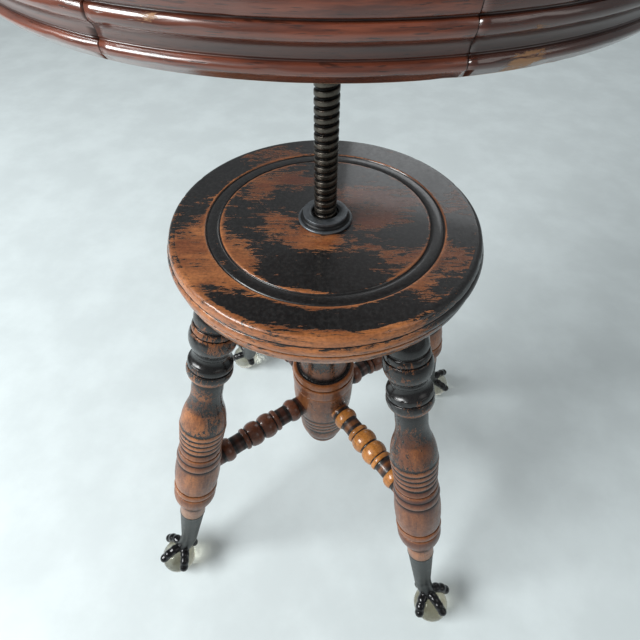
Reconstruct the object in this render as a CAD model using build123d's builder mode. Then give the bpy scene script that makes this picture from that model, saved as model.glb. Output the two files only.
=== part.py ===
from build123d import *
from math import ceil, cos, floor, radians, sin, tan
import os

# Revolving piano stool: a round seat on a long iron screw, over a four-legged turned base.
# Millimetres, +Z up, origin on the floor under the screw's axis.
# Every turned outline is a list of (length, end radius, swell) cuts, worked from the top down.

# ---- platform: the round board that the legs and the nut are fixed to
platform_height = 430.0  # its top face above the floor
platform_thickness = 25.0
platform_flat_radius = 110.0
platform_edge_radius = 113.8
platform_edge_height = 3.0
platform_edge_swell = 0.9
platform_torus_radius = 114.6
platform_upper_band_height = 3.6
platform_upper_band_swell = 0.2
platform_fine_groove_depth = 0.6
platform_fine_groove_width = 0.8
platform_torus_height = 7.9
platform_torus_swell = 1.8
platform_groove_depth = 1.2
platform_groove_width = 1.2
platform_band_radius = 115.0
platform_foot_radius = 112.8
platform_band_swell = 0.5
ring_outer_radius = 86.6  # the low ring bead on the top face lies between two quirks
ring_inner_radius = 77.3
ring_quirk_half_width = 0.9
ring_quirk_depth = 1.3
ring_bead_edge_drop = 0.5
ring_bead_crown_drop = 0.1

# ---- screw, and the iron nut it runs in
thread_pitch = 5.5
screw_radius = 8.0
thread_depth = 1.2
thread_crest_width = 3.3
thread_root_width = 4.3
thread_clearance = 0.3
nut_barrel_radius = 12.5
nut_barrel_length = 36.0
nut_flange_radius = 19.0
nut_bead_height = 2.2
nut_bead_swell = 0.8
nut_shoulder_radius = 18.2
nut_top_radius = 16.2
nut_ogee_height = 3.6
nut_ogee_hollow = -0.9
nut_rim_height = 0.9
nut_mouth_radius = 9.7
nut_mouth_depth = 3.0
running_fit = 0.05

# ---- stop washer held on the screw's lower end by a rivet head
washer_radius = 10.0
washer_thickness = 4.0
washer_chamfer = 0.5
washer_play = 0.1
rivet_pin_radius = 4.0
rivet_head_radius = 6.0
rivet_head_height = 2.0
spare_turns_up = 3  # turns that the seat can still rise from where it is shown
stop_gap = 1.5

# ---- seat: one round top turned from three glued boards
seat_lift = 161.0  # from the platform's top face to the seat's underside
seat_thickness = 30.0
seat_grain_angle = 8.8
seat_joint_right = 38.0
seat_joint_left = -65.0
seat_underside_radius = 150.0
seat_fascia_radius = 152.5
seat_fascia_height = 2.6
seat_bead_height = 3.8
seat_bead_swell = 1.4
seat_fine_groove_radius = 151.6
seat_fine_groove_width = 0.6
seat_cove_height = 5.0
seat_cove_foot_radius = 152.2
seat_cove_top_radius = 154.6
seat_cove_hollow = -0.9
seat_moulding_height = 4.4
seat_moulding_swell = 0.9
seat_upper_groove_radius = 153.2
seat_upper_groove_width = 0.8
seat_top_band_radius = 154.4
seat_top_band_height = 7.4
seat_top_band_swell = 0.6
seat_top_radius = 147.0
seat_top_swell = 1.5

# ---- iron spider under the seat
spider_boss_radius = 15.0
spider_boss_length = 20.0
spider_plate_thickness = 5.0
spider_arm_width = 24.0
spider_arm_reach = 64.0
spider_arms = 4
spider_hole_radius = 52.0
wood_screw_radius = 2.2
wood_screw_length = 21.0
wood_screw_head_radius = 4.4

# ---- centre post: bored for the screw, and holding the inner ends of the stretchers
socket_fit = 0.1
post_tenon_radius = 22.0
post_tenon_length = 9.0
post_bore_radius = 12.0
post_bore_spare = 8.0
post_collar_radius = 28.0
post_collar_height = 7.0
post_collar_swell = 1.4
post_neck_radius = 19.5
post_neck_cove_height = 12.0
post_neck_hollow = -2.2
post_vase_height = 92.0
post_vase_radius = 27.5
post_vase_swell = 2.6
post_waist_height = 46.0
post_waist_radius = 25.4
post_waist_hollow = -1.8
post_ring_radius = 30.2
post_ring_height = 9.0
post_ring_swell = 1.2
post_line_depth = 1.4
post_line_width = 1.2
post_band_radius = 31.4
post_band_height = 14.6
post_band_swell = 0.4
post_barrel_radius = 31.0
post_barrel_height = 50.0
post_barrel_end_radius = 29.0
post_barrel_swell = 1.3
post_reed_height = 9.0
post_reed_count = 3
post_reed_swell = 0.7
post_reed_step = 1.2
post_drop_height = 28.0
post_drop_radius = 20.0
post_drop_swell = 2.2
post_end_height = 10.0
post_end_radius = 14.0
post_end_swell = 2.4

# ---- legs
leg_azimuths = {"front_right": -45.0, "rear_right": 45.0, "rear_left": 135.0, "front_left": -135.0}
leg_splay = 15.95  # lean from the vertical, in degrees
leg_top_radius = 92.0  # from the stool's axis to the leg's axis, at the platform's underside
leg_tenon_radius = 10.5
leg_tenon_length = 17.0
leg_shoulder_radius = 13.5
leg_neck_radius = 12.2
leg_neck_length = 9.0
leg_neck_hollow = -0.6
leg_dome_radius = 15.9
leg_dome_length = 15.0
leg_dome_swell = 1.6
leg_step_radius = 15.0
leg_step_length = 2.0
leg_ring_top_radius = 16.0
leg_ring_radius = 16.9
leg_ring_length = 5.5
leg_ring_swell = 0.5
leg_line_depth = 1.2
leg_line_width = 1.2
leg_bead_radius = 17.3
leg_bead_length = 18.3
leg_bead_end_radius = 15.2
leg_bead_swell = 2.3
leg_notch_radius = 14.5
leg_notch_length = 4.0
leg_notch_swell = 0.4
leg_cove_top_radius = 14.1
leg_cove_radius = 17.0
leg_cove_length = 8.5
leg_cove_hollow = -1.2
leg_lower_ring_top_radius = 17.4
leg_lower_ring_radius = 17.9
leg_lower_ring_length = 5.5
leg_lower_ring_swell = 0.4
leg_lower_bead_radius = 18.1
leg_lower_bead_length = 14.0
leg_lower_bead_end_radius = 13.8
leg_lower_bead_swell = 2.4
leg_bottle_neck_radius = 13.3
leg_bottle_neck_length = 15.8
leg_flare_length = 20.0
leg_flare_radius = 15.7
leg_flare_hollow = -0.9
leg_vase_length = 24.0
leg_vase_radius = 20.1
leg_vase_swell = 1.0
leg_reed_count = 4
leg_reed_length = 7.0
leg_reed_swell = 0.9
leg_reed_step = 0.35
leg_hollow_radius = 18.2
leg_hollow_length = 2.0
leg_collar_rise_length = 7.5
leg_collar_rise_radius = 19.2
leg_collar_rise_swell = 0.5
leg_collar_top_radius = 19.4
leg_collar_length = 6.5
leg_collar_radius = 19.9
leg_collar_swell = 0.3
leg_shoulder_bead_length = 9.0
leg_shoulder_bead_swell = 0.8
leg_bulb_top_radius = 20.0
leg_bulb_radius = 20.6
leg_bulb_length = 42.8
leg_bulb_swell = 1.4
leg_groove_depth = 1.4
leg_groove_width = 1.6
leg_foot_ring_top_radius = 20.9
leg_foot_ring_radius = 20.4
leg_foot_ring_length = 8.4
leg_foot_ring_swell = 0.8
leg_round_radius = 20.2
leg_round_length = 25.6
leg_round_end_radius = 14.3
leg_round_swell = 3.2
leg_ankle_radius = 13.9
leg_ankle_length = 22.8
leg_peg_radius = 10.2
leg_peg_end_radius = 7.2
leg_peg_length = 36.0

# ---- stretchers, each from the post to a leg
stretcher_depth = 237.0  # below the platform's top face
stretcher_tenon_radius = 6.5
stretcher_tenon_length = 11.0
stretcher_end_radius = 10.3
stretcher_end_length = 5.0
stretcher_bead_length = 11.0
stretcher_bead_swell = 1.9
stretcher_neck_radius = 9.4
stretcher_neck_length = 13.0
stretcher_ring_radius = 10.8
stretcher_ring_length = 4.8
stretcher_ring_swell = 0.8
stretcher_groove_radius = 9.9
stretcher_groove_width = 1.2
stretcher_bulb_radius = 10.9
stretcher_bulb_length = 13.8
stretcher_bulb_swell = 2.1

# ---- claw feet: an iron ferrule on each leg, with four toes round a glass ball
ball_radius = 18.8
ball_circle_radius = 214.0
ferrule_radius = 13.2
ferrule_length = 73.8
ferrule_rim_height = 3.0
ferrule_rim_swell = 0.4
ferrule_end_radius = 8.4
ankle_radius = 8.6
ankle_rise = 3.0  # of the ankle's middle above the ball
claw_lean = 28.0  # of the claw's axis inboard from the ball's top, in degrees
toe_radius = 4.5
toe_bite = 0.9
toe_root_angle = 12.0  # angles down the ball are taken from the claw's axis
toe_reaches = {0: 73.0, 80: 57.0, -80: 57.0, 180: 36.0}  # by the toe's turn from outward
knuckle_radius = 5.0
knuckle_shares = (0.35, 0.7, 1.0)
talon_radius = 4.0
talon_angle = 9.0

# ---- heights and places that follow from these
platform_underside = platform_height - platform_thickness
seat_underside = platform_height + seat_lift
seat_top = seat_underside + seat_thickness
spider_underside = seat_underside - spider_plate_thickness
boss_bottom = seat_underside - spider_boss_length
thread_root_radius = screw_radius - thread_depth
nut_top = platform_height + nut_bead_height + nut_ogee_height + nut_rim_height
nut_bottom = platform_height - nut_barrel_length
washer_top = nut_bottom - spare_turns_up * thread_pitch - stop_gap
washer_bottom = washer_top - washer_thickness
thread_bottom = washer_top + washer_play
rivet_top = washer_bottom - washer_play
screw_bottom = rivet_top - rivet_head_height
travel_down = boss_bottom - nut_top
post_bore_bottom = screw_bottom - travel_down - post_bore_spare
stretcher_height = platform_height - stretcher_depth
splay = radians(leg_splay)
lean = radians(claw_lean)
leg_reach = leg_top_radius + (platform_underside - stretcher_height) * tan(splay)
stretcher_outer = leg_reach - leg_bulb_radius / cos(splay)
stretcher_run = stretcher_outer - post_barrel_radius

os.makedirs("parts", exist_ok=True)


def finish(builder, name):
    """Label a finished piece and write it under its own name."""
    builder.part.label = name
    export_step(builder.part, f"parts/{name}.step")


def upright(height):
    """Plane through the stool's axis: x is the radius and y the height above this one."""
    return Plane(origin=(0, 0, height), x_dir=(1, 0, 0), z_dir=(0, -1, 0))


def turned(start_radius, cuts):
    """Half the outline of a turned piece, from the middle of its top end down.

    Each cut is (length, end radius, swell). A swell of zero is a straight cut, a positive one a
    round bead that far proud of the straight line, and a negative one a hollow.
    """
    with BuildSketch() as outline:
        with BuildLine():
            here = Vector(start_radius, 0)
            Line((0, 0), here)
            for length, radius, swell in cuts:
                there = Vector(radius, here.Y - length)
                if swell:
                    proud = Vector(here.Y - there.Y, there.X - here.X).normalized() * swell
                    ThreePointArc(here, (here + there) / 2 + proud, there)
                else:
                    Line(here, there)
                here = there
            Line(here, (0, here.Y))
            Line((0, here.Y), (0, 0))
        make_face()
    return outline.sketch


def turning_length(cuts):
    """Length of a turned piece along its axis."""
    return sum(length for length, radius, swell in cuts)


def line_cut(radius, depth, width, next_radius):
    """A fine square groove turned at the end of one radius, up to the start of the next."""
    return [(0, radius - depth, 0), (width, radius - depth, 0), (0, next_radius, 0)]


def reeds(count, length, radius, step, swell):
    """A row of equal beads that narrows by a step at each one."""
    return [(length, radius - step * (index + 1), swell) for index in range(count)]


def mirrored(start_radius, cuts):
    """The same cuts, met from the other end."""
    starts = [start_radius] + [radius for length, radius, swell in cuts[:-1]]
    return [(length, start, swell) for (length, radius, swell), start in zip(cuts, starts)][::-1]


def ridge_width(radius):
    """Width of the screw's thread ridge at a radius, along the axis."""
    taper = (thread_root_width - thread_crest_width) / thread_depth
    return thread_root_width - taper * (radius - thread_root_radius)


def threaded(clearance, low, high):
    """A right-handed threaded rod from low to high, grown by a clearance on every side.

    Its skin is a flank, crest, flank and root strip for each turn, closed by a ramp and a step at
    either end, which the flat ends then cut away. All rods made by this share one helix.
    """
    root_radius = thread_root_radius + clearance
    crest_radius = screw_radius + clearance
    root_half = ridge_width(root_radius) / 2 + clearance
    crest_half = ridge_width(crest_radius) / 2 + clearance
    corners = [
        (root_radius, -root_half),
        (crest_radius, -crest_half),
        (crest_radius, crest_half),
        (root_radius, root_half),
        (root_radius, thread_pitch - root_half),
    ]
    first_turn = floor((low - thread_bottom) / thread_pitch) - 2
    last_turn = ceil((high - thread_bottom) / thread_pitch) + 2
    start = thread_bottom + first_turn * thread_pitch
    turns = last_turn - first_turn
    helices = [
        Edge.make_helix(thread_pitch, thread_pitch, radius).moved(Location((0, 0, start + height)))
        for radius, height in corners[:-1]
    ]
    helices.append(helices[0].moved(Location((0, 0, thread_pitch))))
    strips = [Face.make_surface_from_curves(a, b) for a, b in zip(helices, helices[1:])]
    foot = start - root_half
    axis = Edge.make_line((0, 0, foot), (0, 0, foot + thread_pitch))
    ramp = Face.make_surface_from_curves(axis, helices[0])
    outline = [(0, 0, foot)]
    outline += [(radius, 0, start + height) for radius, height in corners]
    outline += [(0, 0, foot + thread_pitch)]
    step = Face(Wire.make_polygon(outline, close=True))
    skin = [
        strip.moved(Location((0, 0, thread_pitch * turn))) for turn in range(turns) for strip in strips
    ]
    for height in (0, thread_pitch * turns):
        skin += [ramp.moved(Location((0, 0, height))), step.moved(Location((0, 0, height)))]
    with BuildPart() as rod:
        add(Solid(Shell(skin)))
        with BuildSketch(Plane.XY.offset(low)):
            Circle(crest_radius + thread_depth)
        extrude(amount=high - low, mode=Mode.INTERSECT)
    return rod.part


# ---- turned outlines
leg_cuts = [
    (leg_neck_length, leg_neck_radius, leg_neck_hollow),
    (leg_dome_length, leg_dome_radius, leg_dome_swell),
    (0, leg_step_radius, 0),
    (leg_step_length, leg_step_radius, 0),
    (0, leg_ring_top_radius, 0),
    (leg_ring_length, leg_ring_radius, leg_ring_swell),
]
leg_cuts += line_cut(leg_ring_radius, leg_line_depth, leg_line_width, leg_bead_radius)
leg_cuts += [
    (leg_bead_length, leg_bead_end_radius, leg_bead_swell),
    (0, leg_notch_radius, 0),
    (leg_notch_length, leg_notch_radius, leg_notch_swell),
    (0, leg_cove_top_radius, 0),
    (leg_cove_length, leg_cove_radius, leg_cove_hollow),
    (0, leg_lower_ring_top_radius, 0),
    (leg_lower_ring_length, leg_lower_ring_radius, leg_lower_ring_swell),
]
leg_cuts += line_cut(
    leg_lower_ring_radius, leg_line_depth, leg_line_width, leg_lower_bead_radius
)
leg_cuts += [
    (leg_lower_bead_length, leg_lower_bead_end_radius, leg_lower_bead_swell),
    (0, leg_bottle_neck_radius, 0),
    (leg_bottle_neck_length, leg_bottle_neck_radius, 0),
    (leg_flare_length, leg_flare_radius, leg_flare_hollow),
    (leg_vase_length, leg_vase_radius, leg_vase_swell),
]
leg_cuts += reeds(leg_reed_count, leg_reed_length, leg_vase_radius, leg_reed_step, leg_reed_swell)
leg_cuts += [
    (0, leg_hollow_radius, 0),
    (leg_hollow_length, leg_hollow_radius, 0),
    (leg_collar_rise_length, leg_collar_rise_radius, leg_collar_rise_swell),
]
leg_cuts += line_cut(
    leg_collar_rise_radius, leg_line_depth, leg_line_width, leg_collar_top_radius
)
leg_cuts += [
    (leg_collar_length, leg_collar_radius, leg_collar_swell),
    (leg_shoulder_bead_length, leg_bulb_radius, leg_shoulder_bead_swell),
    (0, leg_bulb_top_radius, 0),
    (leg_bulb_length, leg_bulb_radius, leg_bulb_swell),
]
leg_cuts += line_cut(leg_bulb_radius, leg_groove_depth, leg_groove_width, leg_foot_ring_top_radius)
leg_cuts += [(leg_foot_ring_length, leg_foot_ring_radius, leg_foot_ring_swell)]
leg_cuts += line_cut(leg_foot_ring_radius, leg_groove_depth, leg_groove_width, leg_round_radius)
leg_cuts += [
    (leg_round_length, leg_round_end_radius, leg_round_swell),
    (0, leg_ankle_radius, 0),
    (leg_ankle_length, ferrule_radius, 0),
]
leg_length = turning_length(leg_cuts)
peg_cuts = [(0, leg_peg_radius, 0), (leg_peg_length, leg_peg_end_radius, 0)]
peg_bore_cuts = [(leg_peg_length + socket_fit, leg_peg_end_radius + socket_fit, 0)]
ferrule_cuts = [
    (ferrule_rim_height, ferrule_radius, ferrule_rim_swell),
    (ferrule_length - ferrule_rim_height, ferrule_end_radius, 0),
]

stretcher_half = [
    (stretcher_bead_length, stretcher_end_radius, stretcher_bead_swell),
    (0, stretcher_neck_radius, 0),
    (stretcher_neck_length, stretcher_neck_radius, 0),
    (0, stretcher_ring_radius, 0),
    (stretcher_ring_length, stretcher_ring_radius, stretcher_ring_swell),
    (0, stretcher_groove_radius, 0),
    (stretcher_groove_width, stretcher_groove_radius, 0),
    (0, stretcher_bulb_radius, 0),
    (stretcher_bulb_length, stretcher_bulb_radius, stretcher_bulb_swell),
    (0, stretcher_groove_radius, 0),
]
stretcher_middle = stretcher_run - 2 * (stretcher_end_length + turning_length(stretcher_half))
stretcher_buried = stretcher_end_radius  # how far each end is carried in, to be cut to its seat
stretcher_cuts = [(stretcher_buried + stretcher_end_length, stretcher_end_radius, 0)]
stretcher_cuts += stretcher_half
stretcher_cuts += [(stretcher_middle, stretcher_groove_radius, 0)]
stretcher_cuts += mirrored(stretcher_end_radius, stretcher_half)
stretcher_cuts += [(stretcher_end_length + stretcher_buried, stretcher_end_radius, 0)]

post_cuts = [
    (post_collar_height, post_collar_radius, post_collar_swell),
    (0, post_collar_radius - post_line_depth, 0),
    (post_neck_cove_height, post_neck_radius, post_neck_hollow),
    (post_vase_height, post_vase_radius, post_vase_swell),
    (post_waist_height, post_waist_radius, post_waist_hollow),
    (0, post_ring_radius, 0),
    (post_ring_height, post_ring_radius, post_ring_swell),
]
post_cuts += line_cut(post_ring_radius, post_line_depth, post_line_width, post_band_radius)
post_cuts += [(post_band_height, post_band_radius, post_band_swell)]
post_cuts += line_cut(post_band_radius, post_line_depth, post_line_width, post_barrel_radius)
post_cuts += [(post_barrel_height, post_barrel_end_radius, post_barrel_swell)]
post_cuts += reeds(
    post_reed_count, post_reed_height, post_barrel_end_radius, post_reed_step, post_reed_swell
)
post_cuts += [
    (post_drop_height, post_drop_radius, post_drop_swell),
    (post_end_height, post_end_radius, post_end_swell),
]

platform_cuts = [
    (platform_edge_height, platform_edge_radius, platform_edge_swell),
    (platform_upper_band_height, platform_torus_radius, platform_upper_band_swell),
]
platform_cuts += line_cut(
    platform_torus_radius,
    platform_fine_groove_depth,
    platform_fine_groove_width,
    platform_torus_radius,
)
platform_cuts += [(platform_torus_height, platform_torus_radius, platform_torus_swell)]
platform_cuts += line_cut(
    platform_torus_radius, platform_groove_depth, platform_groove_width, platform_band_radius
)
platform_band_height = platform_thickness - turning_length(platform_cuts)
platform_cuts += [(platform_band_height, platform_foot_radius, platform_band_swell)]

nut_cuts = [
    (nut_rim_height, nut_top_radius, 0),
    (nut_ogee_height, nut_shoulder_radius, nut_ogee_hollow),
    (0, nut_flange_radius, 0),
    (nut_bead_height, nut_flange_radius, nut_bead_swell),
    (0, nut_barrel_radius, 0),
    (nut_barrel_length, nut_barrel_radius, 0),
]

seat_rim_cuts = [
    (seat_top_band_height, seat_top_band_radius, seat_top_band_swell),
    (0, seat_upper_groove_radius, 0),
    (seat_upper_groove_width, seat_upper_groove_radius, 0),
    (0, seat_cove_top_radius, 0),
    (seat_moulding_height, seat_cove_top_radius, seat_moulding_swell),
    (seat_cove_height, seat_cove_foot_radius, seat_cove_hollow),
    (0, seat_fine_groove_radius, 0),
    (seat_fine_groove_width, seat_fine_groove_radius, 0),
    (0, seat_cove_foot_radius, 0),
    (seat_bead_height, seat_fascia_radius, seat_bead_swell),
    (seat_fascia_height, seat_underside_radius, 0),
]
seat_shoulder_height = seat_thickness - turning_length(seat_rim_cuts)
seat_cuts = [(seat_shoulder_height, seat_top_band_radius, seat_top_swell)] + seat_rim_cuts

# ---- directions and planes, for the leg and stretcher that point along +X
outward = Vector(1, 0, 0)
upward = Vector(0, 0, 1)
down_leg = outward * sin(splay) - upward * cos(splay)
across_leg = outward * cos(splay) + upward * sin(splay)
leg_top = outward * leg_top_radius + upward * platform_underside
leg_axis = Axis(leg_top, down_leg)
tenon_plane = Plane(origin=leg_top, z_dir=down_leg * -1)
stretcher_axis = Axis((0, 0, stretcher_height), outward)
stretcher_level = Plane(origin=(0, 0, stretcher_height), z_dir=outward)
stretcher_plane = Plane(
    origin=outward * (stretcher_outer + stretcher_buried) + upward * stretcher_height,
    x_dir=(0, 0, -1),
    z_dir=(0, -1, 0),
)
tenon_start = post_barrel_radius - stretcher_tenon_length
tenon_end = stretcher_outer + stretcher_tenon_length
grain = Plane(origin=(0, 0, 0), x_dir=outward.rotate(Axis.Z, seat_grain_angle), z_dir=upward)


def on_leg(distance):
    """Plane through the leg's axis, from a distance down it: x is the radius, -y runs down."""
    return Plane(origin=leg_top + down_leg * distance, x_dir=across_leg, z_dir=(0, -1, 0))


# ---- blanks: solids that more than one piece is cut from or by
with BuildPart() as leg_bore:
    with BuildSketch(tenon_plane.offset(-leg_tenon_radius)):
        Circle(leg_tenon_radius + socket_fit)
    extrude(amount=leg_tenon_radius + leg_tenon_length + socket_fit)

with BuildPart() as tenon_bore:
    with BuildSketch(stretcher_level.offset(tenon_start - socket_fit)):
        Circle(stretcher_tenon_radius + socket_fit)
    extrude(amount=tenon_end - tenon_start + 2 * socket_fit)

with BuildPart() as post_blank:
    with BuildSketch(upright(platform_underside)):
        add(turned(post_collar_radius, post_cuts))
    revolve(axis=Axis.Z)

with BuildPart() as leg_blank:
    shoulder_cut = [(leg_shoulder_radius, leg_shoulder_radius, 0)]
    with BuildSketch(on_leg(-leg_shoulder_radius)):
        add(turned(leg_shoulder_radius, shoulder_cut + leg_cuts + peg_cuts))
    revolve(axis=leg_axis)
    split(bisect_by=Plane.XY.offset(platform_underside), keep=Keep.BOTTOM)

with BuildPart() as seat_blank:
    with BuildSketch(upright(seat_top)):
        add(turned(seat_top_radius, seat_cuts))
    revolve(axis=Axis.Z)
    with BuildSketch(grain.offset(seat_underside)):
        with PolarLocations(spider_hole_radius, spider_arms):
            Circle(wood_screw_radius + running_fit)
    extrude(amount=wood_screw_length - spider_plate_thickness + running_fit, mode=Mode.SUBTRACT)

# ---- platform and nut
with BuildPart() as platform:
    with BuildSketch(upright(platform_height)):
        add(turned(platform_flat_radius, platform_cuts))
    revolve(axis=Axis.Z)
    with BuildSketch(upright(platform_height)):
        with BuildLine():
            inner_lip = (ring_inner_radius - ring_quirk_half_width, 0)
            inner_edge = (ring_inner_radius + ring_quirk_half_width, -ring_bead_edge_drop)
            crown = ((ring_inner_radius + ring_outer_radius) / 2, -ring_bead_crown_drop)
            outer_edge = (ring_outer_radius - ring_quirk_half_width, -ring_bead_edge_drop)
            outer_lip = (ring_outer_radius + ring_quirk_half_width, 0)
            Polyline(inner_lip, (ring_inner_radius, -ring_quirk_depth), inner_edge)
            ThreePointArc(inner_edge, crown, outer_edge)
            Polyline(outer_edge, (ring_outer_radius, -ring_quirk_depth), outer_lip, inner_lip)
        make_face()
    revolve(axis=Axis.Z, mode=Mode.SUBTRACT)
    with BuildSketch(Plane.XY.offset(platform_height)):
        Circle(nut_barrel_radius + socket_fit)
    extrude(amount=-platform_thickness, mode=Mode.SUBTRACT)
    with BuildSketch(Plane.XY.offset(platform_underside)):
        Circle(post_tenon_radius + socket_fit)
    extrude(amount=post_tenon_length, mode=Mode.SUBTRACT)
    for azimuth in leg_azimuths.values():
        add(leg_bore.part, rotation=(0, 0, azimuth), mode=Mode.SUBTRACT)
finish(platform, "platform")

with BuildPart() as collar_nut:
    with BuildSketch(upright(nut_top)):
        add(turned(nut_top_radius, nut_cuts))
    revolve(axis=Axis.Z)
    thread_void = threaded(thread_clearance, nut_bottom - thread_pitch, nut_top + thread_pitch)
    add(thread_void, mode=Mode.SUBTRACT)
    with BuildSketch(Plane.XY.offset(nut_top)):
        Circle(nut_mouth_radius)
    extrude(amount=-nut_mouth_depth, mode=Mode.SUBTRACT)
finish(collar_nut, "collar_nut")

# ---- screw: threaded rod with a plain head in the spider and a rivet at its foot
with BuildPart() as screw_rod:
    add(threaded(0, thread_bottom, boss_bottom))
    with BuildSketch(Plane.XY.offset(boss_bottom)):
        Circle(screw_radius)
    extrude(amount=spider_boss_length)
    with BuildSketch(Plane.XY.offset(thread_bottom)):
        Circle(rivet_pin_radius)
    extrude(amount=rivet_top - thread_bottom)
    with BuildSketch(Plane.XY.offset(rivet_top)):
        Circle(rivet_head_radius)
    extrude(amount=-rivet_head_height)
finish(screw_rod, "screw_rod")

with BuildPart() as stop_washer:
    with BuildSketch(Plane.XY.offset(washer_bottom)):
        Circle(washer_radius)
        Circle(rivet_pin_radius + running_fit, mode=Mode.SUBTRACT)
    extrude(amount=washer_thickness)
    chamfer(stop_washer.edges().sort_by(SortBy.LENGTH)[-2:], washer_chamfer)
finish(stop_washer, "stop_washer")

# ---- spider: a boss on the screw's head, with four arms screwed up into the seat
with BuildPart() as spider:
    with BuildSketch(grain.offset(seat_underside)):
        for quarter_turn in (0, 90):
            SlotOverall(2 * spider_arm_reach, spider_arm_width, rotation=quarter_turn)
    extrude(amount=-spider_plate_thickness)
    with BuildSketch(Plane.XY.offset(seat_underside)):
        Circle(spider_boss_radius)
    extrude(amount=-spider_boss_length)
    with BuildSketch(Plane.XY.offset(seat_underside)):
        Circle(screw_radius + running_fit)
    extrude(amount=-spider_boss_length, mode=Mode.SUBTRACT)
    with Locations(Plane(origin=(0, 0, spider_underside), x_dir=grain.x_dir, z_dir=(0, 0, -1))):
        with PolarLocations(spider_hole_radius, spider_arms):
            CounterSinkHole(
                wood_screw_radius + running_fit,
                wood_screw_head_radius + running_fit,
                depth=spider_plate_thickness,
                counter_sink_angle=90,
            )
finish(spider, "spider")

with BuildPart() as wood_screws:
    head_height = wood_screw_head_radius - wood_screw_radius
    with BuildSketch(grain.offset(spider_underside)):
        with PolarLocations(spider_hole_radius, spider_arms):
            Circle(wood_screw_head_radius)
    extrude(amount=head_height, taper=45)
    with BuildSketch(grain.offset(spider_underside + head_height)):
        with PolarLocations(spider_hole_radius, spider_arms):
            Circle(wood_screw_radius)
    extrude(amount=wood_screw_length - head_height)
finish(wood_screws, "wood_screws")

# ---- seat boards, side by side across the grain
board_names = ("seat_board_left", "seat_board_middle", "seat_board_right")
seat_margin = seat_top_radius + seat_thickness  # past the rim on every side
board_edges = (-seat_margin, seat_joint_left, seat_joint_right, seat_margin)

for board_name, left, right in zip(board_names, board_edges, board_edges[1:]):
    with BuildPart() as seat_board:
        add(seat_blank.part)
        with BuildSketch(grain.offset(seat_underside - seat_thickness)):
            with Locations(((left + right) / 2, 0)):
                Rectangle(right - left, 2 * seat_margin)
        extrude(amount=3 * seat_thickness, mode=Mode.INTERSECT)
    finish(seat_board, board_name)

# ---- centre post
with BuildPart() as centre_post:
    add(post_blank.part)
    with BuildSketch(Plane.XY.offset(platform_underside + post_tenon_length)):
        Circle(post_tenon_radius)
    extrude(amount=-post_tenon_length)
    with BuildSketch(Plane.XY.offset(platform_underside + post_tenon_length)):
        Circle(post_bore_radius)
    extrude(amount=post_bore_bottom - platform_underside - post_tenon_length, mode=Mode.SUBTRACT)
    with BuildSketch(Plane.XY.offset(platform_underside + post_tenon_length)):
        Circle(nut_barrel_radius + socket_fit)
    extrude(
        amount=nut_bottom - socket_fit - platform_underside - post_tenon_length, mode=Mode.SUBTRACT
    )
    for azimuth in leg_azimuths.values():
        add(tenon_bore.part, rotation=(0, 0, azimuth), mode=Mode.SUBTRACT)
finish(centre_post, "centre_post")

# ---- one leg, stretcher, claw foot and ball, each then turned to its corner
with BuildPart() as leg_pattern:
    add(leg_blank.part)
    with BuildSketch(tenon_plane.offset(-leg_shoulder_radius)):
        Circle(leg_tenon_radius)
    extrude(amount=leg_shoulder_radius + leg_tenon_length)
    add(tenon_bore.part, mode=Mode.SUBTRACT)

with BuildPart() as stretcher_pattern:
    with BuildSketch(stretcher_plane):
        add(turned(stretcher_end_radius, stretcher_cuts))
    revolve(axis=stretcher_axis)
    add(post_blank.part, mode=Mode.SUBTRACT)
    add(leg_blank.part, mode=Mode.SUBTRACT)
    with BuildSketch(stretcher_level.offset(tenon_start)):
        Circle(stretcher_tenon_radius)
    extrude(amount=tenon_end - tenon_start)

ball_middle = outward * ball_circle_radius + upward * ball_radius
claw_up = upward * cos(lean) - outward * sin(lean)
claw_out = outward * cos(lean) + upward * sin(lean)
ankle_top = leg_top + down_leg * (leg_length + ferrule_length)
ankle_foot = ball_middle + claw_up * (ball_radius + ankle_rise)


def toe_plane(toe_turn):
    """Plane of one toe through the ball's middle: x along the claw's axis, y towards the toe."""
    toe_side = claw_out.rotate(Axis((0, 0, 0), claw_up), toe_turn)
    return Plane(origin=ball_middle, x_dir=claw_up, z_dir=claw_up.cross(toe_side))


def round_ball(plane, distance, angle):
    """Point of a toe's plane at an angle down the ball and a distance from the ball's middle."""
    down = radians(angle)
    return plane.from_local_coords((distance * cos(down), distance * sin(down), 0))


def toe_section(plane, distance, angle, radius):
    """Round section of a toe, square to the way that the toe runs round the ball."""
    middle = round_ball(plane, distance, angle)
    way = plane.z_dir.cross(middle - ball_middle)
    with BuildSketch(Plane(origin=middle, z_dir=way)) as section:
        Circle(radius)
    return section.sketch


toe_line = ball_radius + toe_radius - toe_bite
talon_line = ball_radius + talon_radius - toe_bite

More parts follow.
